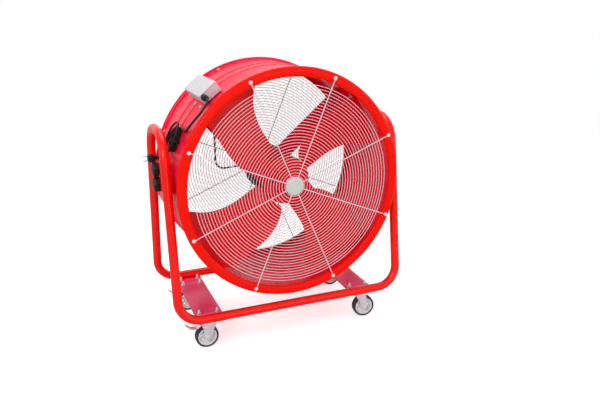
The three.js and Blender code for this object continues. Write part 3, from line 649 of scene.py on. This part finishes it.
def ringTree():
    # concentric wires on the XZ plane: a line of points keeps each one's radius, and all are drawn in to the middle
    tree, given = newTree("concentricWires", (("Rings", "Int"), ("First radius", "Float"), ("Pitch", "Float"),
                                              ("Wire radius", "Float"), ("Place", "Vector")))
    start = nodeOut(tree, "ShaderNodeCombineXYZ", links={"X": given["First radius"]})
    step = nodeOut(tree, "ShaderNodeCombineXYZ", links={"X": given["Pitch"]})
    line = nodeOut(tree, "MeshLine", links={"Count": given["Rings"], "Start Location": start,
                                                        "Offset": step})
    place = nodeOut(tree, "InputPosition")
    across = nodeOut(tree, "ShaderNodeSeparateXYZ", links={0: place})
    kept = nodeOut(tree, "StoreNamedAttribute", {"Name": "ringRadius"},
                   {"Geometry": line, "Value": across}, data_type="FLOAT")
    zero = nodeOut(tree, "FunctionNodeInputVector")
    centred = nodeOut(tree, "SetPosition",
                      links={"Geometry": kept, "Position": zero})
    size = nodeOut(tree, "InputNamedAttribute", {"Name": "ringRadius"}, data_type="FLOAT")
    circle = nodeOut(tree, "CurvePrimitiveCircle", {"Resolution": 120, "Radius": 1.0})
    copies = nodeOut(tree, "InstanceOnPoints",
                     links={"Points": centred, "Instance": circle, "Scale": size})
    loose = nodeOut(tree, "RealizeInstances", links={"Geometry": copies})
    section = nodeOut(tree, "CurvePrimitiveCircle", {"Resolution": 7}, {"Radius": given["Wire radius"]})
    wires = nodeOut(tree, "CurveToMesh",
                    links={"Curve": loose, "Profile Curve": section})
    stood = nodeOut(tree, "Transform", {"Rotation": (pi / 2, 0, 0)},
                    {"Geometry": wires, "Translation": given["Place"]})
    return closeTree(tree, stood, given["Finish"])


def headTree():
    # domed screw heads on the points of a mesh, each along its point's stored direction
    tree, given = newTree("domedHeads", (("Head radius", "Float"), ("Head height", "Float")))
    ball = nodeOut(tree, "MeshUVSphere", {"Segments": 14, "Rings": 8, "Radius": 1.0})
    size = nodeOut(tree, "ShaderNodeCombineXYZ", links={"X": given["Head radius"], "Y": given["Head radius"],
                                                        "Z": given["Head height"]})
    dome = nodeOut(tree, "Transform", links={"Geometry": ball, "Scale": size})
    facing = nodeOut(tree, "InputNamedAttribute", {"Name": "facing"}, data_type="FLOAT_VECTOR")
    turn = nodeOut(tree, "FunctionNodeAlignRotationToVector", links={"Vector": facing}, axis="Z")
    copies = nodeOut(tree, "InstanceOnPoints",
                     links={"Points": given["Geometry"], "Instance": dome, "Rotation": turn})
    loose = nodeOut(tree, "RealizeInstances", links={"Geometry": copies})
    return closeTree(tree, loose, given["Finish"])


wireRings = ringTree()
domedHeads = headTree()


def grown(name, tree, values, spots=()):
    # runs a tree on an object of bare points and keeps its mesh
    ob = newObject(name, [p for p, _ in spots], [])
    if spots:
        facing = ob.data.attributes.new("facing", "FLOAT_VECTOR", "POINT")
        for item, (_, direction) in zip(facing.data, spots):
            item.vector = Vector(direction).normalized()
    modifier = ob.modifiers.new(name, "NODES")
    modifier.node_group = tree
    for item in tree.interface.items_tree:
        if item.item_type == "SOCKET" and item.in_out == "INPUT" and item.name in values:
            modifier[item.identifier] = values[item.name]
    mesh = evaluatedMesh(ob)
    ob.modifiers.clear()
    bare, ob.data = ob.data, mesh
    mesh.name = name
    bpy.data.meshes.remove(bare)
    return ob


def heads(name, spots, radius, height, material, slotName, body):
    ob = grown(name, domedHeads, {"Head radius": radius * mm, "Head height": height * mm, "Finish": material}, spots)
    dressed(ob, None, slotName, body)


def rings(name, count, first, y, material, node):
    values = {"Rings": count, "First radius": first * mm, "Pitch": guardSizes["pitch"] * mm,
              "Wire radius": guardSizes["wire"] * mm, "Place": (0, y * mm, axisZ * mm), "Finish": material}
    dressed(grown(name, wireRings, values), None, "guard_paint", "drum", node)


g = guardSizes
rings("frontGuardRings", g["rings"], g["first"], g["frontY"], whiteWire, "front_guard")
rings("rearGuardRings", g["rearRings"], g["rearFirst"], g["rearY"], rearWireWithPaintedShade, "rear_guard")
spokeY = g["frontY"] - g["wire"] - g["spokeWire"] + 0.5
frontRun = rounded([(30, spokeY), (446, spokeY), (455, spokeY - 1.5), (465, spokeY - 1.5)], 6, 4, False)
rearRun = rounded([(30, 197.2), (466, 197.2), (472.5, 197.2), (473.2, 212)], 5, 5, False)
padProfile = [(4.0, -260.3), (7.8, -260.3), (8.2, -259.1), (7.8, -257.9), (4.0, -257.9)]
frontSpokes, frontScrews, rearSpokes, rearScrews = [], [], [], []
for i in range(g["spokes"]):
    angle = 360 / g["spokes"] * (i + 0.5)
    frontSpokes.append(swept([atAngle(r, y, angle) for r, y in frontRun], g["spokeWire"], 10))
    frontSpokes.append(turned(padProfile, 24, atAngle(g["padRadius"], 0, angle)))
    frontScrews.append((atAngle(g["padRadius"], -260.5, angle), forwards))
    rearSpokes.append(swept([atAngle(r, y, angle) for r, y in rearRun], g["spokeWire"], 10))
    rearScrews.append((atAngle(478.5, 205, angle), outward(angle)))
hubPlate = turned([(0, -261.1), (36, -261.1), (39, -260.1), (39.6, -258.0), (38, -256.1), (0, -256.1)], 48, drumAxis)
piece("frontGuardSpokes", merged(*frontSpokes, hubPlate), 50, whiteWire, "guard_paint", "drum")
rearHub = turned([(0, 191.5), (44, 191.5), (47, 193), (47, 195), (44, 196.5), (0, 196.5)], 48, drumAxis)
piece("rearGuardSpokes", merged(*rearSpokes, rearHub), 50, rearWireWithPaintedShade, "guard_paint", "drum")
heads("frontGuardScrews", frontScrews, 6.4, 4.2, screwWhite, "guard_paint", "drum")
heads("rearGuardScrews", rearScrews, 6.0, 3.0, screwWhite, "guard_paint", "drum")
cap = [(0, -266.9), (12, -266.8), (26, -266.4), (33, -265.7), (35.4, -264.7), (36, -263.4), (36, -261.5),
       (34.6, -261.4), (0, -261.4)]
piece("hubCap", turned(cap, 64, drumAxis), 40, capWhite, "guard_paint", "drum", "guard_hub_cap")
print("guards done")

# ---- cradle: bent tubes, base plates, pivot plates ----
cradleSizes = {"tube": 19.0, "halfWidth": 512.0, "bar": 244.0, "barZ": 159.0, "archZ": 928.0, "lean": 0.1307,
               "lowerBend": 95.0, "upperBend": 120.0, "plateTop": 139.7, "plateThick": 4.0, "plateHalf": 60,
               "plateEnd": 244}


def uprightAt(z):
    return cradleSizes["bar"] - (z - cradleSizes["barZ"]) * cradleSizes["lean"]


c = cradleSizes
top = uprightAt(c["archZ"])
for sideName, side in handed.items():
    x = side * c["halfWidth"]
    corners = [(0, -c["bar"], c["barZ"]), (x, -c["bar"], c["barZ"]), (x, -top, c["archZ"]), (x, top, c["archZ"]),
               (x, c["bar"], c["barZ"]), (0, c["bar"], c["barZ"])]
    path = bentPath(corners, [c["lowerBend"], c["upperBend"], c["upperBend"], c["lowerBend"]], 18, 60)
    nodePiece("cradle_tube_" + sideName, swept(path, c["tube"], 36), 50, redGloss, "red_paint", "cradle")

swivelX = {"left": -370.0, "right": 352.0}
swivelY = 187.0
boltSpots = [(a * 40.0, b * 28.0) for a in (-1, 1) for b in (-1, 1)]
plateMiddle = c["plateTop"] - c["plateThick"] / 2
for sideName, x in swivelX.items():
    outer = rounded(rectangle(x - c["plateHalf"], x + c["plateHalf"], -c["plateEnd"], c["plateEnd"]), 6, 5)
    holes = [circleLoop(x + u, end * swivelY + v, 5.4, 16) for end in (-1, 1) for u, v in boltSpots]
    flat = cutPlate([outer] + holes, c["plateThick"], 0.7, lambda u, v, w: (u, v, w + plateMiddle))
    nodePiece("base_plate_" + sideName, flat, 30, redPlateWithPaintedReflection, "red_paint", "cradle")

pivotSizes = {"inside": 509.5, "outside": 514.5, "dome": 97.0, "slot": 66.0, "slotHalf": 6.2, "bottom": -62.0,
              "shoulder": 40.0, "slotAngle": 45}


def pivotOutline():
    p = pivotSizes

    def edge(z):
        return uprightAt(z + axisZ) - cradleSizes["tube"] * 1.009 - 0.1

    low, high = edge(p["bottom"]), edge(p["shoulder"])
    a0 = asin(p["shoulder"] / p["dome"])
    dome = [polar(p["dome"], a0 + (pi - 2 * a0) * i / 40) for i in range(41)]
    outer = [(-low, p["bottom"]), (low, p["bottom"]), (high, p["shoulder"])] + dome + [(-high, p["shoulder"])]
    slot = []
    for sign, turn in ((1, 0), (-1, pi)):  # one long side of the slot and the round end that follows it
        reach = p["slotAngle"]
        slot += [polar(p["slot"] + sign * p["slotHalf"], radians(90 + sign * (2 * reach * i / 24 - reach)))
                 for i in range(25)]
        end = radians(90 + sign * reach)
        slot += [polar(p["slotHalf"], end + turn + pi * i / 8, *polar(p["slot"], end)) for i in range(1, 8)]
    return [outer, slot, circleLoop(0, 0, 8.5)]


for sideName, side in handed.items():
    middle = side * (pivotSizes["inside"] + pivotSizes["outside"]) / 2
    flat = cutPlate(pivotOutline(), 5.0, 0.8, lambda u, v, w: (w + middle, u, v + axisZ))
    nodePiece("pivot_plate_" + sideName, flat, 30, redGloss, "red_paint", "cradle")
print("cradle done")

# ---- tilt pivot: knobs, washers, bolts, brackets ----
knobSizes = {"lobes": 6, "steps": 96, "lobeDepth": 2.6, "pivotRadius": 34.0, "lockRadius": 31.0}


def knobShape(side, z, radius):
    k = knobSizes
    start = pivotSizes["outside"] + 0.3
    # how far out, share of the radius, share of the lobes' depth
    rows = [(0.0, 0.60, 0.0), (0.0, 0.93, 0.3), (1.2, 0.98, 0.7), (3.5, 1.0, 1.0), (17.0, 1.0, 1.0), (21.5, 0.97, 0.9),
            (24.3, 0.88, 0.7), (25.8, 0.72, 0.35), (26.2, 0.52, 0.1), (25.2, 0.42, 0.0), (24.4, 0.30, 0.0),
            (24.4, 0.0, 0.0)]
    points = []
    for along, share, lobe in rows:
        for i in range(k["steps"]):
            a = 2 * pi * i / k["steps"]
            reach = radius * share - lobe * k["lobeDepth"] * (0.5 - 0.5 * cos(k["lobes"] * a)) ** 1.5
            points.append((side * (start + along), reach * cos(a), z + reach * sin(a)))
    return points, loft(len(rows), k["steps"]) + [tuple(range(k["steps"]))]


washerProfile = [(8.4, 507.2), (39.6, 507.2), (40, 507.6), (40, 508.8), (39.6, 509.2), (8.4, 509.2)]
washerPoints, washerFaces = turned(washerProfile, 48, drumAxis, axis="X")
for sideName, side in handed.items():
    for kind, z in (("pivot", axisZ), ("lock", axisZ + pivotSizes["slot"])):
        knob = f"{kind}_knob_{sideName}"
        nodePiece(knob, knobShape(side, z, knobSizes[kind + "Radius"]), 40, blackGrip, "knob_plastic", knob)
        paintNode(f"{kind}_bolt_{sideName}", zinc, 0.6)
    washer = [(side * x, y, z) for x, y, z in washerPoints], washerFaces
    nodePiece("friction_washer_" + sideName, washer, 40, blackGrip, "knob_plastic", "drum")
    paintNode("pivot_bracket_" + sideName, redShellWithPaintedPinkSheen, 0.8)
bracketScrews = [(onDrum(side * angle, 485.6, y), (side * sin(radians(angle)), 0, cos(radians(angle))))
                 for side in (-1, 1) for y in (-46, 52) for angle in (84.0, 94.0)]
heads("bracketScrews", bracketScrews, 6.5, 4.0, zinc, "zinc_plate", "drum")
print("pivot done")

# ---- castors ----
castorSizes = {"trail": 18.0, "wheel": 51.0, "rim": 41.0, "forkInside": 19.5, "plateTop": 135.4}
castorHeadings = {"front_left": 0.0, "front_right": 173.0, "rear_left": 0.0, "rear_right": 180.0}


def hexBolt(x, y, low, high, headRadius, shank):
    nut = prism(circleLoop(x, y, headRadius, 6), low, high, lying)
    washer = turned([(shank, low - 1.6), (headRadius * 1.05, low - 1.6), (headRadius * 1.05, low - 0.2),
                     (shank, low - 0.2)], 20, (x, y, 0), axis="Z")
    thread = []
    for k in range(11):
        z = high - 1 + k * 1.25
        thread += [(shank, z), (shank - 0.7, z + 0.62)]
    stud = turned([(0, low - 3)] + [(shank, low - 3)] + thread + [(0, high + 12.4)], 14, (x, y, 0),
                  axis="Z")
    return merged(nut, washer, stud)


def castorPlateShape():
    top = castorSizes["plateTop"]
    outer = rounded(rectangle(-50, 50, -39, 39), 7, 5)
    plate = cutPlate([outer], 3.5, 0.6, lambda u, v, w: (u, v, w + top - 1.75))
    race = turned([(0, 127), (26, 126.4), (29, 127.2), (30, 129.2), (29.6, 132.4), (0, 132.4)], 48,
                  axis="Z")
    rivet = turned([(0, 113.8), (7.5, 114.1), (9.3, 115.2), (9.5, 116.8), (6, 116.9), (6, 127.5), (0, 127.5)], 24,
                   axis="Z")
    bolts = [hexBolt(x, y, 141.6, 148.4, 8.6, 4.7) for x, y in boltSpots]
    return merged(plate, race, rivet, *bolts)


def forkShape(braked):
    c = castorSizes
    foot = [polar(14, pi + pi * i / 16, -c["trail"], c["wheel"]) for i in range(17)]
    ear = [(-26, 121), (-39, 113), (-41, 106), (-38, 99), (-33, 92)] if braked else [(-24, 121), (-26, 108)]
    outer = rounded(ear + [foot[0]], [2, 5, 6, 6, 20, 0] if braked else [2, 20, 0], 4, False) + foot[1:]
    outer += rounded([foot[-1], (12, 90), (22, 106), (22, 121)], [0, 20, 10, 2], 5, False)[1:]
    holes = [circleLoop(-c["trail"], c["wheel"], 4.2, 16)] + ([circleLoop(-32, 107, 4.2, 16)] if braked else [])
    legs = []
    for side in (-1, 1):
        y = side * (c["forkInside"] + 1.5)
        legs.append(cutPlate([outer] + holes, 3.0, 0.5, lambda u, v, w: (u, w + y, v)))
    crownLoop = rounded(rectangle(-24, 22, -22.5, 22.5), 3, 3)
    crown = cutPlate([crownLoop, circleLoop(0, 0, 6.6, 20)], 3.9, 0.6, lambda u, v, w: (u, v, w + 119.05))
    cup = turned([(6.6, 120.4), (24, 120.4), (27, 121.4), (27.6, 123.4), (26.6, 125.8), (6.6, 125.8)], 48, axis="Z")
    return merged(*legs, crown, cup)


def wheelShape():
    c = castorSizes
    r = c["rim"]
    hub = turned(rounded([(4.2, -19.2), (10.5, -19.2), (12.5, -9), (14, -3.4), (14, 3.4), (12.5, 9), (10.5, 19.2),
                          (4.2, 19.2)], 1.2, 3), 48)
    outer = turned(rounded([(33, -3.2), (34.5, -11), (36, -15.5), (r, -15.5), (r, 15.5), (36, 15.5), (34.5, 11),
                            (33, 3.2)], 1.2, 3), 64)
    windows = [circleLoop(*polar(25.5, 2 * pi * i / 8), 4.4, 16) for i in range(8)]
    web = cutPlate([circleLoop(0, 0, 33.6, 64)] + windows + [circleLoop(0, 0, 13, 40)], 6.0, 0.6, standing)
    return merged(hub, outer, web)


def tyreShape():
    r0, r1 = castorSizes["rim"] + 0.2, castorSizes["wheel"]
    section = rounded([(r0, -15.2), (45.5, -16.8), (49.6, -15.4), (r1, -9), (r1, 9), (49.6, 15.4), (45.5, 16.8),
                       (r0, 15.2)], [0.6, 2, 3, 6, 6, 3, 2, 0.6], 4)
    return turned(section, 72)


def axleShape():
    inside = castorSizes["forkInside"] + 3.2
    shapes = [turned([(0, -27), (3.9, -27), (3.9, 27), (0, 27)], 20)]
    for side in (-1, 1):
        nut = sorted((side * (inside + 1.6), side * 28.4))
        shapes.append(prism(circleLoop(0, 0, 7.4, 6), *nut, standing))
        band = sorted((side * inside, side * (inside + 1.5)))
        shapes.append(turned([(3.9, band[0]), (8.6, band[0]), (8.6, band[1]), (3.9, band[1])], 28))
    return merged(*shapes)


def pedalShape():
    line = flowing([(-31, 107), (-40, 107.5), (-58, 95.5), (-74, 94.0), (-90, 98.5), (-108, 115)], 5)
    plate = prism(thickened(line, 2.6), -14.5, 14.5, standing)
    collar = turned([(4, -14.5), (6.6, -14.5), (6.6, 14.5), (4, 14.5)], 28, (-32, 0, 107))
    pin = turned([(0, -25), (3.8, -25), (3.8, 25), (0, 25)], 20, (-32, 0, 107))
    rolled = swept([(-108, -14, 115.4), (-108, 14, 115.4)], 2.2)
    bars = []
    for k in range(3):
        x, z = -82 - 7 * k, 97.6 + 4.6 * k + 0.9 * k * k
        bars.append(swept([(x, -9, z), (x, 9, z)], 1.2, 8))
    return merged(plate, collar, pin, rolled, *bars)


for name, heading in castorHeadings.items():
    end, sideName = name.split("_")
    stand = Matrix.Translation((swivelX[sideName], swivelY if end == "rear" else -swivelY, 0))
    swivel = stand @ Matrix.Rotation(radians(heading), 4, "Z")
    wheel = swivel @ Matrix.Translation((-castorSizes["trail"], 0, castorSizes["wheel"]))
    braked = sideName == "left"
    fork, rolling, zincLook = "castor_" + name, "wheel_" + name, (zinc, "zinc_plate")
    built = [("castor_plate_", castorPlateShape(), stand, 35, *zincLook, "cradle", ()),
             ("castor_fork_", forkShape(braked), swivel, 35, *zincLook, fork, ()),
             ("castor_axle_", axleShape(), wheel, 35, *zincLook, fork, (0.3,)),
             ("castor_rim_", wheelShape(), wheel, 40, rimNylon, "wheel_rim", rolling, ()),
             ("castor_tyre_", tyreShape(), wheel, 50, tyreRubber, "wheel_tyre", rolling, ())]
    if braked:
        built.append(("brake_pedal_", pedalShape(), swivel, 40, *zincLook, "brake_" + name, (0.5,)))
    for node, shape, place, angle, material, slotName, body, soft in built:
        nodePiece(node + name, moved(shape, place), angle, material, slotName, body, soft=soft)
print("castors done")

# ---- motor, its bracket and lead ----
motorSizes = {"front": -15.2, "fins": 40, "armAngle": 40.7, "armNear": 8.0, "armFar": 83.0, "footRadius": 470.4}


def motorShape():
    m = motorSizes
    bellFront = rounded([(0, 4), (12.4, 4), (12.4, m["front"]), (30, m["front"]), (34, -12), (60, -14), (92, -10),
                         (104, -2), (104, 14), (96, 14), (96, 20), (0, 20)],
                        [0, 0, 0, 1, 2, 4, 8, 5, 1, 1, 1, 0], 4, False)
    bellRear = rounded([(0, 92), (96, 92), (96, 96), (104, 96), (104, 110), (97, 118), (74, 123), (44, 124), (38, 130),
                        (0, 131)], [0, 1, 1, 1, 3, 6, 8, 2, 4, 0], 4, False)
    core = [(0, 19), (96, 19), (96, 93), (0, 93)]
    shapes = [turned(bellFront, 72), turned(bellRear, 72), turned(core, 72)]
    for i in range(m["fins"]):
        fin = prism([(94, -1.4), (104.2, -0.8), (104.2, 0.8), (94, 1.4)], 13, 97, standing)
        shapes.append(spun(fin, 360 * i / m["fins"]))
    for i in range(4):
        x, z = polar(84, radians(45 + 90 * i))
        shapes.append(turned([(0, 117), (5, 117), (5, 121), (3.6, 122.5), (0, 122.5)], 20, (x, 0, z)))
    return onAxis(merged(*shapes))


nodePiece("motor_body", motorShape(), 35, motorBlack, "motor_paint", "drum")
terminal = onAxis(merged(block(-138, -96, 14, 56, 16, 58), block(-143.5, -136, 12, 58, 14, 60)))
piece("motorTerminalBox", terminal, 35, motorBlack, "motor_paint", "drum", soft=(2.0, 3))
nutProfile = [(4, -149), (6.6, -149), (7.2, -147.5), (7.2, -143), (4, -143)]
piece("motorLeadGland", turned(nutProfile, 6, (0, 30, axisZ + 36), axis="X"), 30, blackGrip, "knob_plastic", "drum")
leadPath = bentPath([(-144, 30, axisZ + 36), (-260, 30, axisZ + 29), (-258, 30, axisZ + 330.4),
                     onDrum(-38, 474.5, 30)], [38, 60], 12, 10)
motorLead = shaded(newObject("motorLead", *swept(leadPath, 4.0)), 60)
dressed(motorLead, cordBlack, "cord_rubber", "drum", "motor_cable")


def motorBracketShape():
    m = motorSizes
    holes = [circleLoop(*polar(52, pi * i / 2), 9, 20) for i in range(4)]
    hub = cutPlate([circleLoop(0, 0, 85, 72), circleLoop(0, 0, 30, 40)] + holes, 5.0, 0.8,
                   lambda u, v, w: (u, w - 18.1, v))
    inside = rounded([(4, -20.4), (300, -20.4), (468.4, -20.4), (468.4, -114.8)], [0, 0, 12, 0], 8, False)
    outside = thickened(inside, -4.6)[len(inside):][::-1]

    def bent(line, v, t):
        # each wide arm ends square to its own direction, so its foot follows the shell
        reach, y = line[round(v * (len(line) - 1))]
        across = m["armNear"] + (m["armFar"] - m["armNear"]) * t
        drop = m["footRadius"] - sqrt(m["footRadius"] ** 2 - across ** 2)
        return reach - drop * reach / m["footRadius"], y, across

    arms = []
    for i in range(4):
        angle = m["armAngle"] + 90 * i
        arm = sheetGrid(len(inside) - 1, 10, lambda v, t: bent(inside, v, t), lambda v, t: bent(outside, v, t))
        arms.append(spun(arm, angle))
        for reach, across in ((52, 0), (74, 0)):
            bolt = turned([(0, -20), (6.5, -20), (6.5, -23.4), (4.5, -24.4), (0, -24.4)], 20, (reach, 0, across))
            arms.append(spun(bolt, angle + 6))
    return onAxis(merged(hub, *arms))


nodePiece("motor_bracket", motorBracketShape(), 35, redShellWithPaintedPinkSheen, "red_paint", "drum", soft=(0.6, 2, 50))
shellScrews = [(atAngle(478.4, y, 46.3 + 90 * i), outward(46.3 + 90 * i)) for i in range(4) for y in (-15, -105)]
heads("shellScrews", shellScrews, 6.0, 3.4, screwWhite, "guard_paint", "drum")
paintNode("motor_shaft", zinc, 0.8)
print("motor done")

# ---- fan wheel ----
bladeSizes = {"root": 106.0, "tip": 460.0, "middle": -152.0, "sheet": 2.6, "corner": 52.0, "pitch": 96, "pitchGain": 16,
              "armFront": 3.0, "armRear": 7.8}


def rightEdge(radius):
    if radius < 255:
        return 112.5 - 9.5 * ((255 - radius) / 135) ** 2
    return 112.5 - 8 * ((radius - 255) / 170) ** 2


def leftEdge(radius):
    if radius < 140:
        return 162.8 - 6 * ((140 - radius) / 34) ** 2
    rise = clamp((radius - 140) / 300)
    return 162.8 - 20.5 * rise * rise * (3 - 2 * rise)


def bladePoint(v, t, behind=0.0, spin=0.0):
    b = bladeSizes
    radius = b["root"] + (b["tip"] - b["root"]) * sin(v * pi / 2)
    past = max(0.0, radius - (b["tip"] - b["corner"]))
    inset = degrees((b["corner"] - sqrt(max(0.0, b["corner"] ** 2 - past ** 2))) / radius)
    low, high = rightEdge(radius) + inset, leftEdge(radius) - inset
    angle = low + (high - low) * t
    share = (radius - b["root"]) / (b["tip"] - b["root"])
    full = (angle - rightEdge(radius)) / (leftEdge(radius) - rightEdge(radius))
    camber = (4 + 10 * share) * (1 - (2 * full - 1) ** 2)
    y = b["middle"] + (b["pitch"] + b["pitchGain"] * share) * (0.5 - full) + camber + behind
    return atAngle(radius, y, angle + spin)


def armPoint(v, t, behind, spin):
    # the hub's arm behind a blade follows the middle of it from just inside its root
    return bladePoint(0.383 * v - 0.05, 0.42 + 0.16 * t, behind, spin)


bladeRivets, armShapes = [], []
for i in range(4):
    b = bladeSizes
    spin = 90.0 * i
    grid = sheetGrid(56, 30, lambda v, t: bladePoint(v, t, 0, spin), lambda v, t: bladePoint(v, t, b["sheet"], spin))
    nodePiece(f"fan_blade_{i + 1}", grid, 50, redBlade, "red_paint", "fan", soft=(0.9, 2, 60))
    for v, t in ((0.06, 0.5), (0.14, 0.47), (0.14, 0.53), (0.24, 0.5), (0.34, 0.5)):
        bladeRivets.append((bladePoint(v, t, 0, spin), forwards))
    armShapes.append(sheetGrid(14, 4, lambda v, t: armPoint(v, t, b["armFront"], spin),
                               lambda v, t: armPoint(v, t, b["armRear"], spin)))
hubProfile = rounded([(12.3, -178), (24, -178), (28, -176), (28, -163), (40, -161.5), (88, -160), (104.5, -159),
                      (104.5, -138.5), (88, -138), (28, -138), (28, -136.5), (12.3, -136.5)],
                     [0.5, 1.5, 2, 3, 3, 6, 3, 3, 3, 2, 1, 0.5], 4)
nodePiece("fan_hub", merged(turned(hubProfile, 96, drumAxis), *armShapes), 40, redBlade, "red_paint", "fan")
heads("bladeRivets", bladeRivets, 5.0, 2.4, redBlade, "red_paint", "fan")
hubBolts = [(atAngle(62, -160.8, 45 * i), forwards) for i in range(8)]
heads("hubBolts", hubBolts, 6.0, 3.5, motorBlack, "zinc_plate", "fan")
print("fan done")

# ---- connection box and gland ----
boxSizes = {"angle": -39.0, "front": -160.0, "rear": 96.0, "half": 44.0, "floor": 481.4, "top": 520.5, "lip": 2}


def onBox(u, y, v):
    a = radians(boxSizes["angle"])
    return (u * cos(a) + v * sin(a), y, -u * sin(a) + v * cos(a) + axisZ)


def boxShape():
    # its floor follows the shell
    b = boxSizes
    across = [-b["half"] + 2 * b["half"] * i / 16 for i in range(17)]
    loop = [(u, sqrt(b["floor"] ** 2 - u * u)) for u in across] + [(b["half"], b["top"]), (-b["half"], b["top"])]
    return prism(loop, b["front"], b["rear"], lambda u, v, w: onBox(u, w, v))


def lidShape():
    b = boxSizes
    rows = [(520.8, 0.0), (523.2, 0.0), (525.0, 1.0), (526.6, 3.4), (527.5, 7.0)]  # height and inset
    points = []
    for v, inset in rows:
        half = b["half"] + b["lip"] - inset
        ends = b["front"] - b["lip"] + inset, b["rear"] + b["lip"] - inset
        loop = rounded(rectangle(-half, half, *ends), 5, 4)
        points += [onBox(u, y, v) for u, y in loop]
    return points, capped(len(rows), len(loop))


nodePiece("junction_box", boxShape(), 35, boxGrey, "box_plastic", "drum", soft=(2.5, 3))
nodePiece("junction_box_lid", lidShape(), 35, boxGrey, "box_plastic", "drum")
lidUp = Vector((sin(radians(boxSizes["angle"])), 0, cos(radians(boxSizes["angle"]))))
lidScrews = [(onBox(u, y, 527.0), lidUp) for u in (-33, 33) for y in (-147, 83)]
heads("lidScrews", lidScrews, 4.2, 1.6, zinc, "zinc_plate", "drum")
gland = [(0, -160.2), (13.5, -160.2), (13.5, -166), (11.4, -167), (11.4, -174)]
for k in range(4):
    gland += [(12.6, -175.5 - 3 * k), (12.0, -177 - 3 * k)]
gland += [(10.5, -189), (8.0, -191), (0, -191)]
glandSpot = onDrum(cordSizes["glandAngle"], cordSizes["glandRadius"], 0)
nodePiece("cable_gland", turned(gland, 28, glandSpot), 30, blackGrip, "knob_plastic", "drum")
print("connection box done")

# ---- floor, world and lamps ----
stageLevels = {"world": 0.5, "key": 66.0, "top": 40.0, "fill": 20.0, "paperGlow": 0.6, "front": 14.0}
floorMesh = bpy.data.meshes.new("studioFloor")
floorMesh.from_pydata([(-14, -12, 0), (14, -12, 0), (14, 18, 0), (-14, 18, 0)], [], [(0, 1, 2, 3)])
floor = linked("studioFloor", floorMesh)
floorPaint, floorTree, floorShader, floorWhere = startMaterial("whitePaperSweep")
floorTree.links.new(colourMix(floorTree, mottled(floorTree, floorWhere, 900, 0.0, 1.0), "#DEDEDE", "#E4E4E4"),
                    floorShader.inputs["Base Color"])
floorShader.inputs["Roughness"].default_value = 0.9
floorShader.inputs["Specular IOR Level"].default_value = 0.1
# seen by the camera the paper glows a little, which leaves only the shadow; far off it is all glow, as the world is
floorRays = addNode(floorTree, "LightPath").outputs
lift = nodeOut(floorTree, "Math", {1: stageLevels["paperGlow"]}, {0: floorRays["Is Camera Ray"]},
               operation="MULTIPLY")
glow = nodeOut(floorTree, "Emission", {"Color": (1, 1, 1, 1)}, {"Strength": lift})
lit = nodeOut(floorTree, "AddShader", links={0: floorShader.outputs[0], 1: glow})
blank = nodeOut(floorTree, "Emission", {"Color": (1, 1, 1, 1), "Strength": 1.0})
reach = addNode(floorTree, "VectorMath", links={0: floorWhere}, operation="LENGTH").outputs["Value"]
away = addNode(floorTree, "MapRange", {"From Min": 1.0, "From Max": 2.2}, {"Value": reach}).outputs["Result"]
awaySeen = nodeOut(floorTree, "Math", links={0: away, 1: floorRays["Is Camera Ray"]}, operation="MULTIPLY")
paper = nodeOut(floorTree, "MixShader", links={0: awaySeen, 1: lit,
                                                        2: blank})
floorTree.links.new(paper, floorTree.nodes["Material Output"].inputs["Surface"])
floorMesh.materials.append(floorPaint)

world = bpy.data.worlds.new("studioWorld")
bpy.context.scene.world = world
world.use_nodes = True
worldTree = world.node_tree
worldTree.nodes.clear()
rays = addNode(worldTree, "LightPath").outputs
seen = rays["Is Camera Ray"]
for kind in ("Is Glossy Ray", "Is Transmission Ray"):
    seen = nodeOut(worldTree, "Math", links={0: seen, 1: rays[kind]}, operation="MAXIMUM")
level = nodeOut(worldTree, "MapRange", {"To Min": stageLevels["world"], "To Max": 1.0}, {"Value": seen})
sky = nodeOut(worldTree, "Background", {"Color": (1, 1, 1, 1)}, {"Strength": level})
addNode(worldTree, "OutputWorld", links={"Surface": sky})


def softLamp(name, spot, target, size, watts):
    lamp = bpy.data.lights.new(name, "AREA")
    lamp.shape = "RECTANGLE"
    lamp.size, lamp.size_y = size
    lamp.energy = watts
    ob = linked(name, lamp)
    ob.location = spot
    ob.rotation_euler = (Vector(target) - Vector(spot)).to_track_quat("-Z", "Y").to_euler()


softLamp("keySoftbox", (-2.6, -2.6, 2.9), (0, 0, 0.7), (1.8, 1.8), stageLevels["key"])
softLamp("topSoftbox", (0.2, 0.6, 3.4), (0, 0, 0.6), (2.4, 1.8), stageLevels["top"])
softLamp("fillSoftbox", (3.0, -1.8, 1.4), (0, 0, 0.6), (1.4, 2.0), stageLevels["fill"])
softLamp("frontSoftbox", (0.8, -3.6, 1.1), (0, 0, 0.7), (2.2, 1.6), stageLevels["front"])

bpy.context.scene.view_settings.view_transform = "Standard"
bpy.context.view_layer.update()
